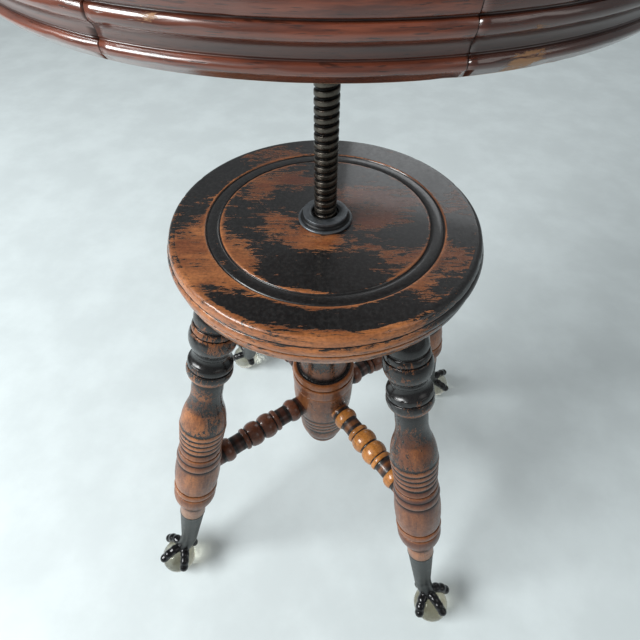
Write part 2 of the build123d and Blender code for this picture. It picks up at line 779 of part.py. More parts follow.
with BuildPart() as claw_pattern:
    with BuildSketch(on_leg(leg_length)):
        add(turned(ferrule_radius, ferrule_cuts))
    revolve(axis=leg_axis)
    with Locations(ankle_top, ankle_foot):
        Sphere(ankle_radius)
    with BuildSketch(Plane(origin=ankle_top, z_dir=ankle_foot - ankle_top)):
        Circle(ankle_radius)
    extrude(amount=(ankle_foot - ankle_top).length)
    for toe_turn, toe_reach in toe_reaches.items():
        plane = toe_plane(toe_turn)
        toe_axis = Axis(ball_middle, plane.z_dir)
        add(toe_section(plane, toe_line, toe_root_angle, toe_radius))
        revolve(axis=toe_axis, revolution_arc=toe_reach - toe_root_angle)
        for share in knuckle_shares:
            knuckle_angle = toe_root_angle + share * (toe_reach - toe_root_angle)
            with Locations(round_ball(plane, toe_line, knuckle_angle)):
                Sphere(knuckle_radius)
        add(toe_section(plane, talon_line, toe_reach, talon_radius))
        revolve(axis=toe_axis, revolution_arc=talon_angle)
        with Locations(round_ball(plane, talon_line, toe_reach + talon_angle)):
            Sphere(talon_radius)
    with Locations(ball_middle):
        Sphere(ball_radius + socket_fit, mode=Mode.SUBTRACT)
    with BuildSketch(on_leg(leg_length)):
        add(turned(leg_peg_radius + socket_fit, peg_bore_cuts))
    revolve(axis=leg_axis, mode=Mode.SUBTRACT)

for corner, azimuth in leg_azimuths.items():
    to_corner = (0, 0, azimuth)
    with BuildPart() as leg:
        add(leg_pattern.part, rotation=to_corner)
    finish(leg, f"{corner}_leg")
    with BuildPart() as stretcher:
        add(stretcher_pattern.part, rotation=to_corner)
    finish(stretcher, f"{corner}_stretcher")
    with BuildPart() as claw_foot:
        add(claw_pattern.part, rotation=to_corner)
    finish(claw_foot, f"{corner}_claw_foot")
    with BuildPart() as glass_ball:
        with Locations(ball_middle.rotate(Axis.Z, azimuth)):
            Sphere(ball_radius)
    finish(glass_ball, f"{corner}_glass_ball")
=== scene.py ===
"""Looks of a revolving piano stool: mahogany seat, iron screw, worn black base, claw and ball feet.

Sizes below are in millimetres and follow the solids'; meshes are written in metres.
"""

from __future__ import annotations

import logging
import math
from dataclasses import dataclass, field
from enum import Enum
from typing import Callable, NamedTuple, Sequence

import bmesh
import bpy
import numpy as np
from mathutils import Matrix, Vector, noise


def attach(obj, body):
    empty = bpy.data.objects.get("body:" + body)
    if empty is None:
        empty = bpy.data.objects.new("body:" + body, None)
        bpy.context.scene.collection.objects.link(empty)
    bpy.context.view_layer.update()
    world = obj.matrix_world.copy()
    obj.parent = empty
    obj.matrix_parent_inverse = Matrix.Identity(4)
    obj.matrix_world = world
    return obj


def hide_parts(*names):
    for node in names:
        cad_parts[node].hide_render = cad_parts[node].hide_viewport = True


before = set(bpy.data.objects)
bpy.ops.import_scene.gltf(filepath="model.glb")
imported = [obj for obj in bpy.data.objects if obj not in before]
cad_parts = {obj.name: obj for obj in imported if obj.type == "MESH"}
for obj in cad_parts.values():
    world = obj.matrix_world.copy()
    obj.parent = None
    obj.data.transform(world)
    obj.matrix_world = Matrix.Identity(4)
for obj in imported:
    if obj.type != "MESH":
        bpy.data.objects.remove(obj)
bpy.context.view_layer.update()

LOG = logging.getLogger("piano_stool")
MM = 0.001
STEP = 0.3
FINE_REACH, FINE_STAND = 1.9, 0.36
BROAD_REACH, BROAD_STAND = 5.5, 2.2
Cut = tuple[float, float, float]
Socket = bpy.types.NodeSocket
Value = float | Sequence[float] | Socket
Colour = tuple[float, float, float]
Wear = tuple[float, float]
Painter = Callable[[Vector, float, float], Wear]
Placer = Callable[[Vector], Vector]


class Body(Enum):
    """Rigid bodies that the meshes ride on."""

    BASE = "base"
    SEAT = "seat"


class Slot(Enum):
    """Material slots of the record."""

    SEAT = "seat_mahogany"
    EBONISED = "ebonised_wood"
    TURNED = "turned_wood"
    IRON = "cast_iron"
    SCREW = "screw_iron"
    GLASS = "foot_glass"


class Corner(Enum):
    """Corners of the base, by the azimuth of the leg that stands there."""

    FRONT_RIGHT = -45.0
    REAR_RIGHT = 45.0
    REAR_LEFT = 135.0
    FRONT_LEFT = -135.0

    @property
    def label(self) -> str:
        """The corner's name as the solids spell it."""
        return self.name.lower()


# --------------------------------------------------------------------------------------
# shader building
# --------------------------------------------------------------------------------------


class Graph:
    """Short spellings for the nodes of one tree, of shaders or of geometry."""

    def __init__(self, tree: bpy.types.NodeTree) -> None:
        """Start on a tree.

        Args:
            tree: The node tree that the nodes are added to.
        """
        self.tree = tree

    def node(self, kind: str, **settings: object) -> bpy.types.Node:
        """Add a node.

        Args:
            kind: The node's type, without its ShaderNode prefix.
            **settings: Properties to set on it.

        Returns:
            The new node.
        """
        made = self.tree.nodes.new("ShaderNode" + kind)
        for name, value in settings.items():
            setattr(made, name, value)
        return made

    def feed(self, socket: Socket, value: Value) -> None:
        """Link a socket to another, or set its plain value.

        Args:
            socket: The socket that takes it.
            value: Another socket, a number, or the numbers of a vector or colour.
        """
        if isinstance(value, bpy.types.NodeSocket):
            self.tree.links.new(value, socket)
        elif isinstance(value, (int, float)):
            socket.default_value = value
        else:
            wanted = len(socket.default_value)
            socket.default_value = (tuple(value) + (1.0,))[:wanted]

    def math(self, operation: str, a: Value, b: Value = 0.0, clamp: bool = False) -> Socket:
        """One Math node.

        Args:
            operation: Such as "MULTIPLY".
            a: The first value.
            b: The second value.
            clamp: Whether the result is kept from 0 to 1.

        Returns:
            The result.
        """
        made = self.node("Math", operation=operation, use_clamp=clamp)
        self.feed(made.inputs[0], a)
        self.feed(made.inputs[1], b)
        return made.outputs[0]

    def times(self, a: Value, b: Value, clamp: bool = False) -> Socket:
        """The product of two values."""
        return self.math("MULTIPLY", a, b, clamp)

    def plus(self, a: Value, b: Value, clamp: bool = False) -> Socket:
        """The sum of two values."""
        return self.math("ADD", a, b, clamp)

    def minus(self, a: Value, b: Value, clamp: bool = False) -> Socket:
        """The first value less the second."""
        return self.math("SUBTRACT", a, b, clamp)

    def spread(self, value: Value, low: float, high: float, to: tuple[float, float] = (0, 1)) -> Socket:
        """Map a value smoothly from one range to another, and hold it there.

        Args:
            value: The value.
            low: Where its range starts.
            high: Where its range ends.
            to: What the two ends become.

        Returns:
            The mapped value.
        """
        made = self.node("MapRange", interpolation_type="SMOOTHSTEP")
        for socket, number in zip(made.inputs, (value, low, high, to[0], to[1])):
            self.feed(socket, number)
        return made.outputs[0]

    def scaled(self, vector: Socket, factors: Value) -> Socket:
        """Multiply a vector by a factor for each of its axes.

        Args:
            vector: The vector.
            factors: The factors.

        Returns:
            The scaled vector.
        """
        made = self.node("VectorMath", operation="MULTIPLY")
        self.feed(made.inputs[0], vector)
        self.feed(made.inputs[1], factors)
        return made.outputs[0]

    def shifted(self, vector: Socket, offset: Value) -> Socket:
        """Add a vector to another.

        Args:
            vector: The vector.
            offset: What is added.

        Returns:
            The sum.
        """
        made = self.node("VectorMath", operation="ADD")
        self.feed(made.inputs[0], vector)
        self.feed(made.inputs[1], offset)
        return made.outputs[0]

    def noise(self, vector: Socket, scale: Value, detail: float = 4.0, rough: float = 0.55) -> Socket:
        """Noise value from 0 to 1 at a vector.

        Args:
            vector: Where it is read.
            scale: How fine it is, in cycles to the metre.
            detail: Octaves.
            rough: Share that each finer octave keeps.

        Returns:
            The noise value.
        """
        made = self.node("TexNoise", noise_dimensions="3D")
        self.feed(made.inputs["Vector"], vector)
        self.feed(made.inputs["Scale"], scale)
        self.feed(made.inputs["Detail"], detail)
        self.feed(made.inputs["Roughness"], rough)
        return made.outputs[0]

    def mix(self, share: Value, a: Value, b: Value, blend: str = "MIX") -> Socket:
        """Mix two colours.

        Args:
            share: How much of the second shows.
            a: The first colour.
            b: The second colour.
            blend: The blending mode.

        Returns:
            The mixed colour.
        """
        made = self.node("Mix", data_type="RGBA", blend_type=blend)
        self.feed(made.inputs[0], share)
        self.feed(made.inputs[6], a)
        self.feed(made.inputs[7], b)
        return made.outputs[2]

    def blend(self, share: Value, a: Value, b: Value) -> Socket:
        """Mix two plain values.

        Args:
            share: How much of the second shows.
            a: The first value.
            b: The second value.

        Returns:
            The mixed value.
        """
        made = self.node("Mix", data_type="FLOAT")
        self.feed(made.inputs[0], share)
        self.feed(made.inputs[2], a)
        self.feed(made.inputs[3], b)
        return made.outputs[0]

    def attribute(self, name: str, output: str = "Fac") -> Socket:
        """Read one of the mesh's own attributes."""
        made = self.node("Attribute", attribute_type="GEOMETRY", attribute_name=name)
        return made.outputs[output]

    def use(self, group: bpy.types.NodeTree, **inputs: Value) -> bpy.types.Node:
        """Place a node group.

        Args:
            group: The group.
            **inputs: Its inputs, with underscores for spaces.

        Returns:
            The group's node.
        """
        made = self.node("Group", node_tree=group)
        for name, value in inputs.items():
            self.feed(made.inputs[name.replace("_", " ").capitalize()], value)
        return made

    def bump(self, height: Socket, distance: float, strength: float) -> Socket:
        """Turn a height into a normal.

        Args:
            height: The height, usually from 0 to 1.
            distance: How high 1 stands, in metres.
            strength: How much of it shows.

        Returns:
            The normal.
        """
        made = self.node("Bump")
        self.feed(made.inputs["Strength"], strength)
        self.feed(made.inputs["Distance"], distance)
        self.feed(made.inputs["Height"], height)
        return made.outputs[0]


def new_group(
    name: str, inputs: dict[str, str], outputs: dict[str, str]
) -> tuple[Graph, bpy.types.Node, bpy.types.Node]:
    """Start a shader node group.

    Args:
        name: Its name.
        inputs: Socket types by name.
        outputs: Socket types by name.

    Returns:
        The graph, its input node and its output node.
    """
    tree = bpy.data.node_groups.new(name, "ShaderNodeTree")
    for way, sockets in (("INPUT", inputs), ("OUTPUT", outputs)):
        for label, kind in sockets.items():
            tree.interface.new_socket(label, in_out=way, socket_type="NodeSocket" + kind)
    start = tree.nodes.new("NodeGroupInput")
    end = tree.nodes.new("NodeGroupOutput")
    return Graph(tree), start, end


class SharedEffects:
    """Shader node groups that several finishes use, each built once."""

    def __init__(self) -> None:
        """Build them all."""
        self.grain = self._grain()
        self.rubbed = self._rubbed()
        self.dirt_and_shade = self._dirt_and_shade()
        self.casting = self._casting()

    def _grain(self) -> bpy.types.NodeTree:
        """Wood grain along z of the place: streaks, pores and broad bands, each from 0 to 1.

        Returns:
            The group.
        """
        graph, start, end = new_group(
            "wood grain",
            {"Place": "Vector", "Fineness": "Float"},
            {"Streak": "Float", "Pore": "Float", "Band": "Float"},
        )
        fine = graph.node("VectorMath", operation="SCALE")
        graph.feed(fine.inputs[0], start.outputs["Place"])
        graph.feed(fine.inputs["Scale"], start.outputs["Fineness"])
        place = fine.outputs[0]
        waver = graph.node("TexNoise", noise_dimensions="3D")
        graph.feed(waver.inputs["Vector"], graph.scaled(place, (1, 1, 0.35)))
        graph.feed(waver.inputs["Scale"], 18.0)
        lift = graph.node("VectorMath", operation="SCALE")
        graph.feed(lift.inputs[0], waver.outputs["Color"])
        graph.feed(lift.inputs["Scale"], 0.006)
        bent = graph.shifted(place, lift.outputs[0])
        streak = graph.noise(graph.scaled(bent, (1, 1, 0.045)), 420.0, 5.0, 0.62)
        pore = graph.noise(graph.scaled(bent, (1, 1, 0.03)), 1500.0, 2.0, 0.5)
        band = graph.noise(graph.scaled(bent, (1, 0.35, 0.05)), 95.0, 2.0, 0.45)
        graph.feed(end.inputs["Streak"], graph.spread(streak, 0.32, 0.68))
        graph.feed(end.inputs["Pore"], graph.spread(pore, 0.60, 0.70))
        graph.feed(end.inputs["Band"], graph.spread(band, 0.38, 0.62))
        return graph.tree

    def _rubbed(self) -> bpy.types.NodeTree:
        """How much of a paint is left: 1 where it is whole, with ragged edges along the grain.

        Three noises, each finer than the last, make a level that the rub wears down. Crests wear
        sooner and hollows later. Rim marks the paint's edge, where the bare wood takes a painted
        highlight, and Film the thin remains beside it.

        Returns:
            The group.
        """
        graph, start, end = new_group(
            "rubbed paint",
            {"Place": "Vector", "Rub": "Float", "Relief": "Float", "Stretch": "Vector", "Scale": "Float"},
            {"Paint": "Float", "Rim": "Float", "Film": "Float"},
        )
        scale = start.outputs["Scale"]
        stretched = graph.scaled(start.outputs["Place"], start.outputs["Stretch"])
        waver = graph.node("TexNoise", noise_dimensions="3D")
        graph.feed(waver.inputs["Vector"], stretched)
        graph.feed(waver.inputs["Scale"], graph.times(scale, 2.2))
        bent = graph.shifted(stretched, graph.scaled(waver.outputs["Color"], (0.006, 0.006, 0.006)))
        broad = graph.noise(bent, scale, 3.0, 0.5)
        feather = graph.noise(bent, graph.times(scale, 4.2), 9.0, 0.74)
        speck = graph.noise(bent, graph.times(scale, 17.0), 3.0, 0.6)
        hold = graph.plus(graph.times(broad, 0.36), graph.times(feather, 0.92))
        hold = graph.plus(hold, graph.times(speck, 0.42))
        crest = graph.math("MAXIMUM", start.outputs["Relief"], 0.0)
        hollow = graph.math("MINIMUM", start.outputs["Relief"], 0.0)
        worn = graph.plus(start.outputs["Rub"], graph.times(crest, 0.18))
        worn = graph.plus(worn, graph.times(hollow, 0.34))
        level = graph.minus(graph.plus(hold, 0.10), worn)
        graph.feed(end.inputs["Paint"], graph.spread(level, 0.488, 0.512))
        edge = graph.math("ABSOLUTE", graph.minus(level, 0.485))
        graph.feed(end.inputs["Rim"], graph.spread(edge, 0.0, 0.022, (1, 0)))
        graph.feed(end.inputs["Film"], graph.spread(level, 0.36, 0.49))
        return graph.tree

    def _dirt_and_shade(self) -> bpy.types.NodeTree:
        """Darkening in turned grooves and hollows, partly grime and partly painted shade, with a faint
        haze elsewhere.

        Returns:
            The group.
        """
        graph, start, end = new_group(
            "groove dirt",
            {"Place": "Vector", "Relief": "Float", "Amount": "Float"},
            {"Dirt_and_shade": "Float"},
        )
        # Deeper hollows darken more: grime there, and painted shade.
        deep = graph.spread(graph.times(start.outputs["Relief"], -1.0), 0.02, 0.45)
        patchy = graph.noise(start.outputs["Place"], 140.0, 4.0)
        uneven = graph.times(deep, graph.spread(patchy, 0.25, 0.6, (0.8, 1.0)))
        haze = graph.spread(graph.noise(start.outputs["Place"], 45.0, 5.0), 0.55, 0.8, (0.0, 0.45))
        total = graph.plus(uneven, haze)
        graph.feed(end.inputs["Dirt_and_shade"], graph.times(total, start.outputs["Amount"], True))
        return graph.tree

    def _casting(self) -> bpy.types.NodeTree:
        """Sand-cast or forged iron: a pitted height, broad tone and small rust spots.

        Returns:
            The group.
        """
        graph, start, end = new_group(
            "iron skin",
            {"Place": "Vector"},
            {"Height": "Float", "Tone": "Float", "Rust": "Float"},
        )
        place = start.outputs["Place"]
        rough = graph.noise(place, 700.0, 5.0, 0.6)
        pits = graph.spread(graph.noise(place, 1400.0, 2.0), 0.6, 0.75, (0.0, 0.6))
        graph.feed(end.inputs["Height"], graph.minus(rough, pits))
        graph.feed(end.inputs["Tone"], graph.spread(graph.noise(place, 160.0, 4.0), 0.35, 0.65))
        graph.feed(end.inputs["Rust"], graph.spread(graph.noise(place, 420.0, 6.0, 0.62), 0.60, 0.68))
        return graph.tree


def new_material(name: str) -> tuple[bpy.types.Material, Graph, bpy.types.Node]:
    """Start a material.

    Args:
        name: The finish's name.

    Returns:
        The material, its graph and its Principled BSDF.
    """
    material = bpy.data.materials.new(name)
    material.use_nodes = True
    return material, Graph(material.node_tree), material.node_tree.nodes["Principled BSDF"]


@dataclass(frozen=True)
class RubbedWood:
    """Turned wood stained brown, painted black and rubbed back to the wood.

    The mesh's rub says how worn the paint is. Its tint turns the bare wood dark and red where it
    is above zero, and bleached where it is below.
    """

    name: str
    pale: Colour = (0.40, 0.130, 0.040)
    deep: Colour = (0.130, 0.034, 0.012)
    red: Colour = (0.070, 0.018, 0.010)
    bleached: Colour = (0.34, 0.20, 0.13)
    paint: Colour = (0.0075, 0.0070, 0.0072)
    dusty: Colour = (0.022, 0.021, 0.021)
    # Dark of the thin paint film and the pores, and of the grime and painted shade in the grooves.
    grime_and_shade: Colour = (0.009, 0.005, 0.004)
    stretch: tuple[float, float, float] = (1.0, 1.0, 0.45)
    scale: float = 85.0
    fineness: float = 1.0
    contrast: float = 0.3
    film: float = 0.35
    # How strongly grooves and hollows darken with grime and painted shade.
    dirt_and_shade: float = 1.0
    wood_roughness: float = 0.38
    paint_roughness: float = 0.36
    varnish: float = 0.50

    def build(self, effects: SharedEffects) -> bpy.types.Material:
        """Make the material.

        Args:
            effects: The shared node groups.

        Returns:
            The material.
        """
        material, graph, shader = new_material(self.name)
        place = graph.attribute("place", "Vector")
        relief = graph.attribute("relief")
        tint = graph.attribute("tint")
        grain = graph.use(effects.grain, place=place, fineness=self.fineness)
        rubbed = graph.use(
            effects.rubbed,
            place=place,
            rub=graph.attribute("rub"),
            relief=relief,
            stretch=self.stretch,
            scale=self.scale,
        )
        dirt_and_shade = graph.use(effects.dirt_and_shade, place=place, relief=relief, amount=self.dirt_and_shade).outputs["Dirt_and_shade"]
        paint = rubbed.outputs["Paint"]
        wood = self.wood(graph, place, grain, relief, tint)
        filmed = graph.mix(graph.times(rubbed.outputs["Film"], self.film), wood, self.grime_and_shade)
        # Painted highlight: the bare wood along the paint's edge turns paler.
        edge_highlighted = graph.mix(graph.times(rubbed.outputs["Rim"], 0.4), filmed, self.pale)
        # Grooves and hollows darken with grime and painted shade.
        dirtied_and_shaded = graph.mix(dirt_and_shade, edge_highlighted, self.grime_and_shade)
        dusty = graph.spread(graph.noise(place, 420.0, 6.0, 0.65), 0.40, 0.72)
        black = graph.mix(dusty, self.paint, self.dusty)
        graph.feed(shader.inputs["Base Color"], graph.mix(paint, dirtied_and_shaded, black))
        uneven = graph.spread(graph.noise(place, 320.0, 5.0), 0.3, 0.7, (-0.06, 0.09))
        wood_rough = graph.plus(uneven, self.wood_roughness)
        wood_rough = graph.plus(wood_rough, graph.times(dirt_and_shade, 0.2))
        paint_rough = graph.plus(uneven, self.paint_roughness)
        graph.feed(shader.inputs["Roughness"], graph.blend(paint, wood_rough, paint_rough))
        fine = graph.times(grain.outputs["Streak"], 0.25)
        fine = graph.minus(fine, graph.times(grain.outputs["Pore"], 0.5))
        skin = graph.times(graph.noise(place, 1100.0, 3.0), 0.35)
        height = graph.plus(graph.times(paint, 1.1), graph.blend(paint, fine, skin))
        graph.feed(shader.inputs["Normal"], graph.bump(height, 0.00012, 0.85))
        shader.inputs["IOR"].default_value = 1.42
        clean = graph.minus(1.0, graph.times(dirt_and_shade, 0.7))
        graph.feed(shader.inputs["Coat Weight"], graph.times(clean, self.varnish))
        shader.inputs["Coat Roughness"].default_value = 0.09
        return material

    def wood(
        self, graph: Graph, place: Socket, grain: bpy.types.Node, relief: Socket, tint: Socket
    ) -> Socket:
        """Colour of the bare wood, with painted shade in its hollows and a painted highlight on its crests.

        Args:
            graph: The material's graph.
            place: Where a point lies in the wood.
            grain: The grain group's node.
            relief: How proud or hollow the turning is.
            tint: The mesh's tint.

        Returns:
            The colour.
        """
        blotch = graph.spread(graph.noise(graph.scaled(place, (1, 1, 0.4)), 60.0, 6.0, 0.6), 0.36, 0.64)
        tone = graph.blend(self.contrast, blotch, grain.outputs["Streak"])
        wood = graph.mix(tone, self.deep, self.pale)
        banded = graph.mix(graph.times(grain.outputs["Band"], 0.35), wood, self.deep)
        reddened = graph.mix(graph.math("MAXIMUM", tint, 0.0), banded, self.red)
        bleaching = graph.times(graph.math("MINIMUM", tint, 0.0), -1.0)
        bleached = graph.mix(bleaching, reddened, self.bleached)
        # Painted shade: hollows turn darker and redder. Painted highlight: crests turn paler.
        hollows_shaded = graph.mix(graph.spread(relief, -0.35, 0.05, (0.85, 0.0)), bleached, self.red)
        lit = graph.mix(graph.spread(relief, 0.2, 0.9, (0.0, 0.35)), hollows_shaded, self.pale)
        mottle = graph.spread(graph.noise(place, 520.0, 4.0, 0.6), 0.3, 0.62, (0.72, 1.06))
        mottled = graph.mix(1.0, lit, mottle, "MULTIPLY")
        return graph.mix(graph.times(grain.outputs["Pore"], 0.45), mottled, self.grime_and_shade)


@dataclass(frozen=True)
class SeatVarnish:
    """Red-brown mahogany under a glossy varnish, dark in the grooves and chipped on the edges."""

    name: str
    light: Colour = (0.25, 0.063, 0.028)
    dark: Colour = (0.078, 0.019, 0.010)
    groove: Colour = (0.016, 0.006, 0.004)
    bare: Colour = (0.33, 0.17, 0.08)
    chip_scale: float = 230.0
    bare_roughness: float = 0.6

    def build(self, effects: SharedEffects) -> bpy.types.Material:
        """Make the material.

        Args:
            effects: The shared node groups.

        Returns:
            The material.
        """
        material, graph, shader = new_material(self.name)
        place = graph.attribute("place", "Vector")
        relief = graph.attribute("relief")
        rub = graph.attribute("rub")
        tint = graph.attribute("tint")
        grain = graph.use(effects.grain, place=place, fineness=0.8)
        rubbed = graph.use(
            effects.rubbed,
            place=place,
            rub=rub,
            relief=graph.math("MAXIMUM", relief, 0.0),
            stretch=(1.0, 1.0, 0.5),
            scale=self.chip_scale,
        )
        dirt_and_shade = graph.use(effects.dirt_and_shade, place=place, relief=relief, amount=0.6).outputs["Dirt_and_shade"]
        wood = graph.mix(grain.outputs["Streak"], self.dark, self.light)
        banded = graph.mix(graph.times(grain.outputs["Band"], 0.5), wood, self.dark)
        shaded = graph.mix(tint, banded, tuple(channel * 0.35 for channel in self.dark))
        pored = graph.mix(graph.times(grain.outputs["Pore"], 0.7), shaded, self.groove)
        # Grooves darken with grime and painted shade, and pores with the groove colour.
        dirtied_and_shaded = graph.mix(dirt_and_shade, pored, self.groove)
        varnish = rubbed.outputs["Paint"]
        graph.feed(shader.inputs["Base Color"], graph.mix(varnish, self.bare, dirtied_and_shaded))
        wiped = graph.noise(graph.scaled(place, (1, 1, 0.3)), 90.0, 6.0)
        smear = graph.spread(wiped, 0.35, 0.7, (0.16, 0.34))
        glossy = graph.plus(smear, graph.times(dirt_and_shade, 0.2))
        graph.feed(shader.inputs["Roughness"], graph.blend(varnish, self.bare_roughness, glossy))
        fine = graph.times(grain.outputs["Streak"], 0.3)
        fine = graph.minus(fine, graph.times(grain.outputs["Pore"], 0.5))
        height = graph.plus(fine, graph.times(varnish, 1.2))
        graph.feed(shader.inputs["Normal"], graph.bump(height, 0.00008, 0.7))
        graph.feed(shader.inputs["Coat Weight"], graph.times(varnish, 0.85))
        shader.inputs["Coat Roughness"].default_value = 0.20
        return material


@dataclass(frozen=True)
class Iron:
    """Dark iron or steel: pitted, toned, polished on its crests, with rust where it is bare.

    The mesh's rub says how smooth it is, and where a painted colour is given, how much paint it has.
    A carried solid has no attributes of its own, so its finish goes by its place alone.
    """

    name: str
    colour: Colour = (0.030, 0.031, 0.034)
    polished: Colour = (0.16, 0.15, 0.14)
    rust_colour: Colour = (0.16, 0.060, 0.022)
    rust: float = 0.3
    metallic: float = 0.8
    roughness: float = 0.42
    bump: float = 0.00012
    gap_shade: Colour = (0.003, 0.003, 0.003)
    painted: Colour | None = None
    carried: bool = False

    def build(self, effects: SharedEffects) -> bpy.types.Material:
        """Make the material.

        Args:
            effects: The shared node groups.

        Returns:
            The material.
        """
        material, graph, shader = new_material(self.name)
        if self.carried:
            place = graph.node("TexCoord").outputs["Object"]
            relief = graph.spread(graph.noise(place, 90.0, 3.0), 0.45, 0.7)
            gloss = graph.spread(graph.noise(place, 40.0, 3.0), 0.4, 0.6, (0.0, 0.2))
        else:
            place = graph.attribute("place", "Vector")
            relief = graph.attribute("relief")
            gloss = graph.attribute("rub")
        skin = graph.use(effects.casting, place=place)
        toned = graph.mix(skin.outputs["Tone"], self.colour, tuple(channel * 1.7 for channel in self.colour))
        uneven = graph.spread(skin.outputs["Tone"], 0, 1, (0.6, 1.0))
        crest = graph.times(graph.spread(relief, 0.15, 0.85), uneven)
        shiny = graph.mix(crest, toned, self.polished)
        # Painted shade: the deepest hollows and gaps, such as the thread's roots, go nearly black.
        shiny = graph.mix(graph.spread(relief, -0.7, -0.15, (0.92, 0.0)), shiny, self.gap_shade)
        rust = graph.times(skin.outputs["Rust"], self.rust)
        rust = graph.times(rust, graph.minus(1.0, gloss, True))
        if self.painted:
            shiny = graph.mix(gloss, shiny, self.painted)
            graph.feed(shader.inputs["Coat Weight"], graph.times(gloss, 0.35))
            shader.inputs["Coat Roughness"].default_value = 0.24
        graph.feed(shader.inputs["Base Color"], graph.mix(rust, shiny, self.rust_colour))
        metal = graph.minus(self.metallic, graph.times(rust, 0.7), True)
        graph.feed(shader.inputs["Metallic"], metal)
        rough = graph.plus(graph.spread(skin.outputs["Tone"], 0, 1, (-0.06, 0.08)), self.roughness)
        rough = graph.minus(rough, graph.times(gloss, self.roughness * 0.5))
        rough = graph.minus(rough, graph.times(crest, 0.1))
        graph.feed(shader.inputs["Roughness"], graph.plus(rough, graph.times(rust, 0.3), True))
        showing = graph.minus(1.0, graph.times(gloss, 0.7))
        depth = graph.times(skin.outputs["Height"], showing)
        graph.feed(shader.inputs["Normal"], graph.bump(depth, self.bump, 0.8))
        return material


@dataclass(frozen=True)
class BallGlass:
    """Old pressed glass, faintly yellow and clouded, with a worn skin."""

    name: str
    colour: Colour = (0.88, 0.85, 0.74)
    cloudy: Colour = (0.70, 0.63, 0.47)

    def build(self) -> bpy.types.Material:
        """Make the material.

        Returns:
            The material.
        """
        material, graph, shader = new_material(self.name)
        place = graph.attribute("place", "Vector")
        cloud = graph.spread(graph.noise(place, 120.0, 4.0), 0.4, 0.7)
        graph.feed(shader.inputs["Base Color"], graph.mix(cloud, self.colour, self.cloudy))
        worn = graph.spread(graph.noise(place, 500.0, 5.0), 0.45, 0.75, (0.03, 0.12))
        graph.feed(shader.inputs["Roughness"], worn)
        graph.feed(shader.inputs["Normal"], graph.bump(graph.noise(place, 260.0, 3.0), 0.0001, 0.5))
        shader.inputs["Transmission Weight"].default_value = 1.0
        shader.inputs["IOR"].default_value = 1.5
        return material


@dataclass(frozen=True)
class PaleGround:
    """Plain pale floor with a faint mottle."""

    name: str
    colour: Colour = (0.72, 0.79, 0.80)

    def build(self) -> bpy.types.Material:
        """Make the material.

        Returns:
            The material.
        """
        material, graph, shader = new_material(self.name)
        place = graph.node("TexCoord").outputs["Object"]
        mottle = graph.spread(graph.noise(place, 9.0, 6.0, 0.6), 0.35, 0.7, (0.93, 1.03))
        graph.feed(shader.inputs["Base Color"], graph.mix(1.0, self.colour, mottle, "MULTIPLY"))
        shader.inputs["Roughness"].default_value = 0.55
        return material


# --------------------------------------------------------------------------------------
# turning
# --------------------------------------------------------------------------------------


def sample_cuts(start_radius: float, cuts: Sequence[Cut]) -> np.ndarray:
    """Points along a turned outline, from the top down.

    Args:
        start_radius: Radius at the top end.
        cuts: (length, end radius, swell) cuts; a swell bulges outwards, a negative one hollows.

    Returns:
        Rows of (radius, height), in millimetres.
    """
    points = [np.array([start_radius, 0.0])]
    for length, radius, swell in cuts:
        here = points[-1]
        there = np.array([radius, here[1] - length])
        run = there - here
        chord = float(np.hypot(*run))
        if chord < 1e-6:
            continue
        count = max(1, int(round(chord / STEP)))
        if not swell:
            points += [here + run * (index + 1) / count for index in range(count)]
            continue
        normal = np.array([-run[1], run[0]]) / chord
        depth = abs(swell)
        circle = ((chord / 2) ** 2 + depth**2) / (2 * depth)
        reach = math.asin(min(1.0, chord / 2 / circle))
        for index in range(count):
            angle = -reach + 2 * reach * (index + 1) / count
            rise = circle * math.cos(angle) - circle + depth
            along = 0.5 + circle * math.sin(angle) / chord
            points.append(here + run * along + normal * math.copysign(rise, swell))
    return np.array(points)


def even(points: np.ndarray, step: float = STEP) -> np.ndarray:
    """Space a line's points evenly.

    Args:
        points: Rows of (radius, height).
        step: About how far apart the points are to be.

    Returns:
        The same line with evenly spaced points.
    """
    lengths = np.hypot(*np.diff(points, axis=0).T)
    reached = np.concatenate([[0.0], np.cumsum(lengths)])
    wanted = np.linspace(0.0, reached[-1], max(2, int(reached[-1] / step)))
    return np.column_stack([np.interp(wanted, reached, points[:, axis]) for axis in (0, 1)])


def softened(points: np.ndarray, reach: float) -> np.ndarray:
    """Round a line's corners, holding its ends.

    Args:
        points: Evenly spaced rows of (radius, height).
        reach: How far each corner is spread, in millimetres.

    Returns:
        The rounded line.
    """
    half = max(1, int(3 * reach / STEP))
    weights = np.exp(-0.5 * (np.arange(-half, half + 1) * STEP / reach) ** 2)
    weights /= weights.sum()
    before = 2 * points[0] - points[half:0:-1]
    after = 2 * points[-1] - points[-2 : -half - 2 : -1]
    padded = np.vstack([before, points, after])
    return np.column_stack([np.convolve(padded[:, axis], weights, "valid") for axis in (0, 1)])


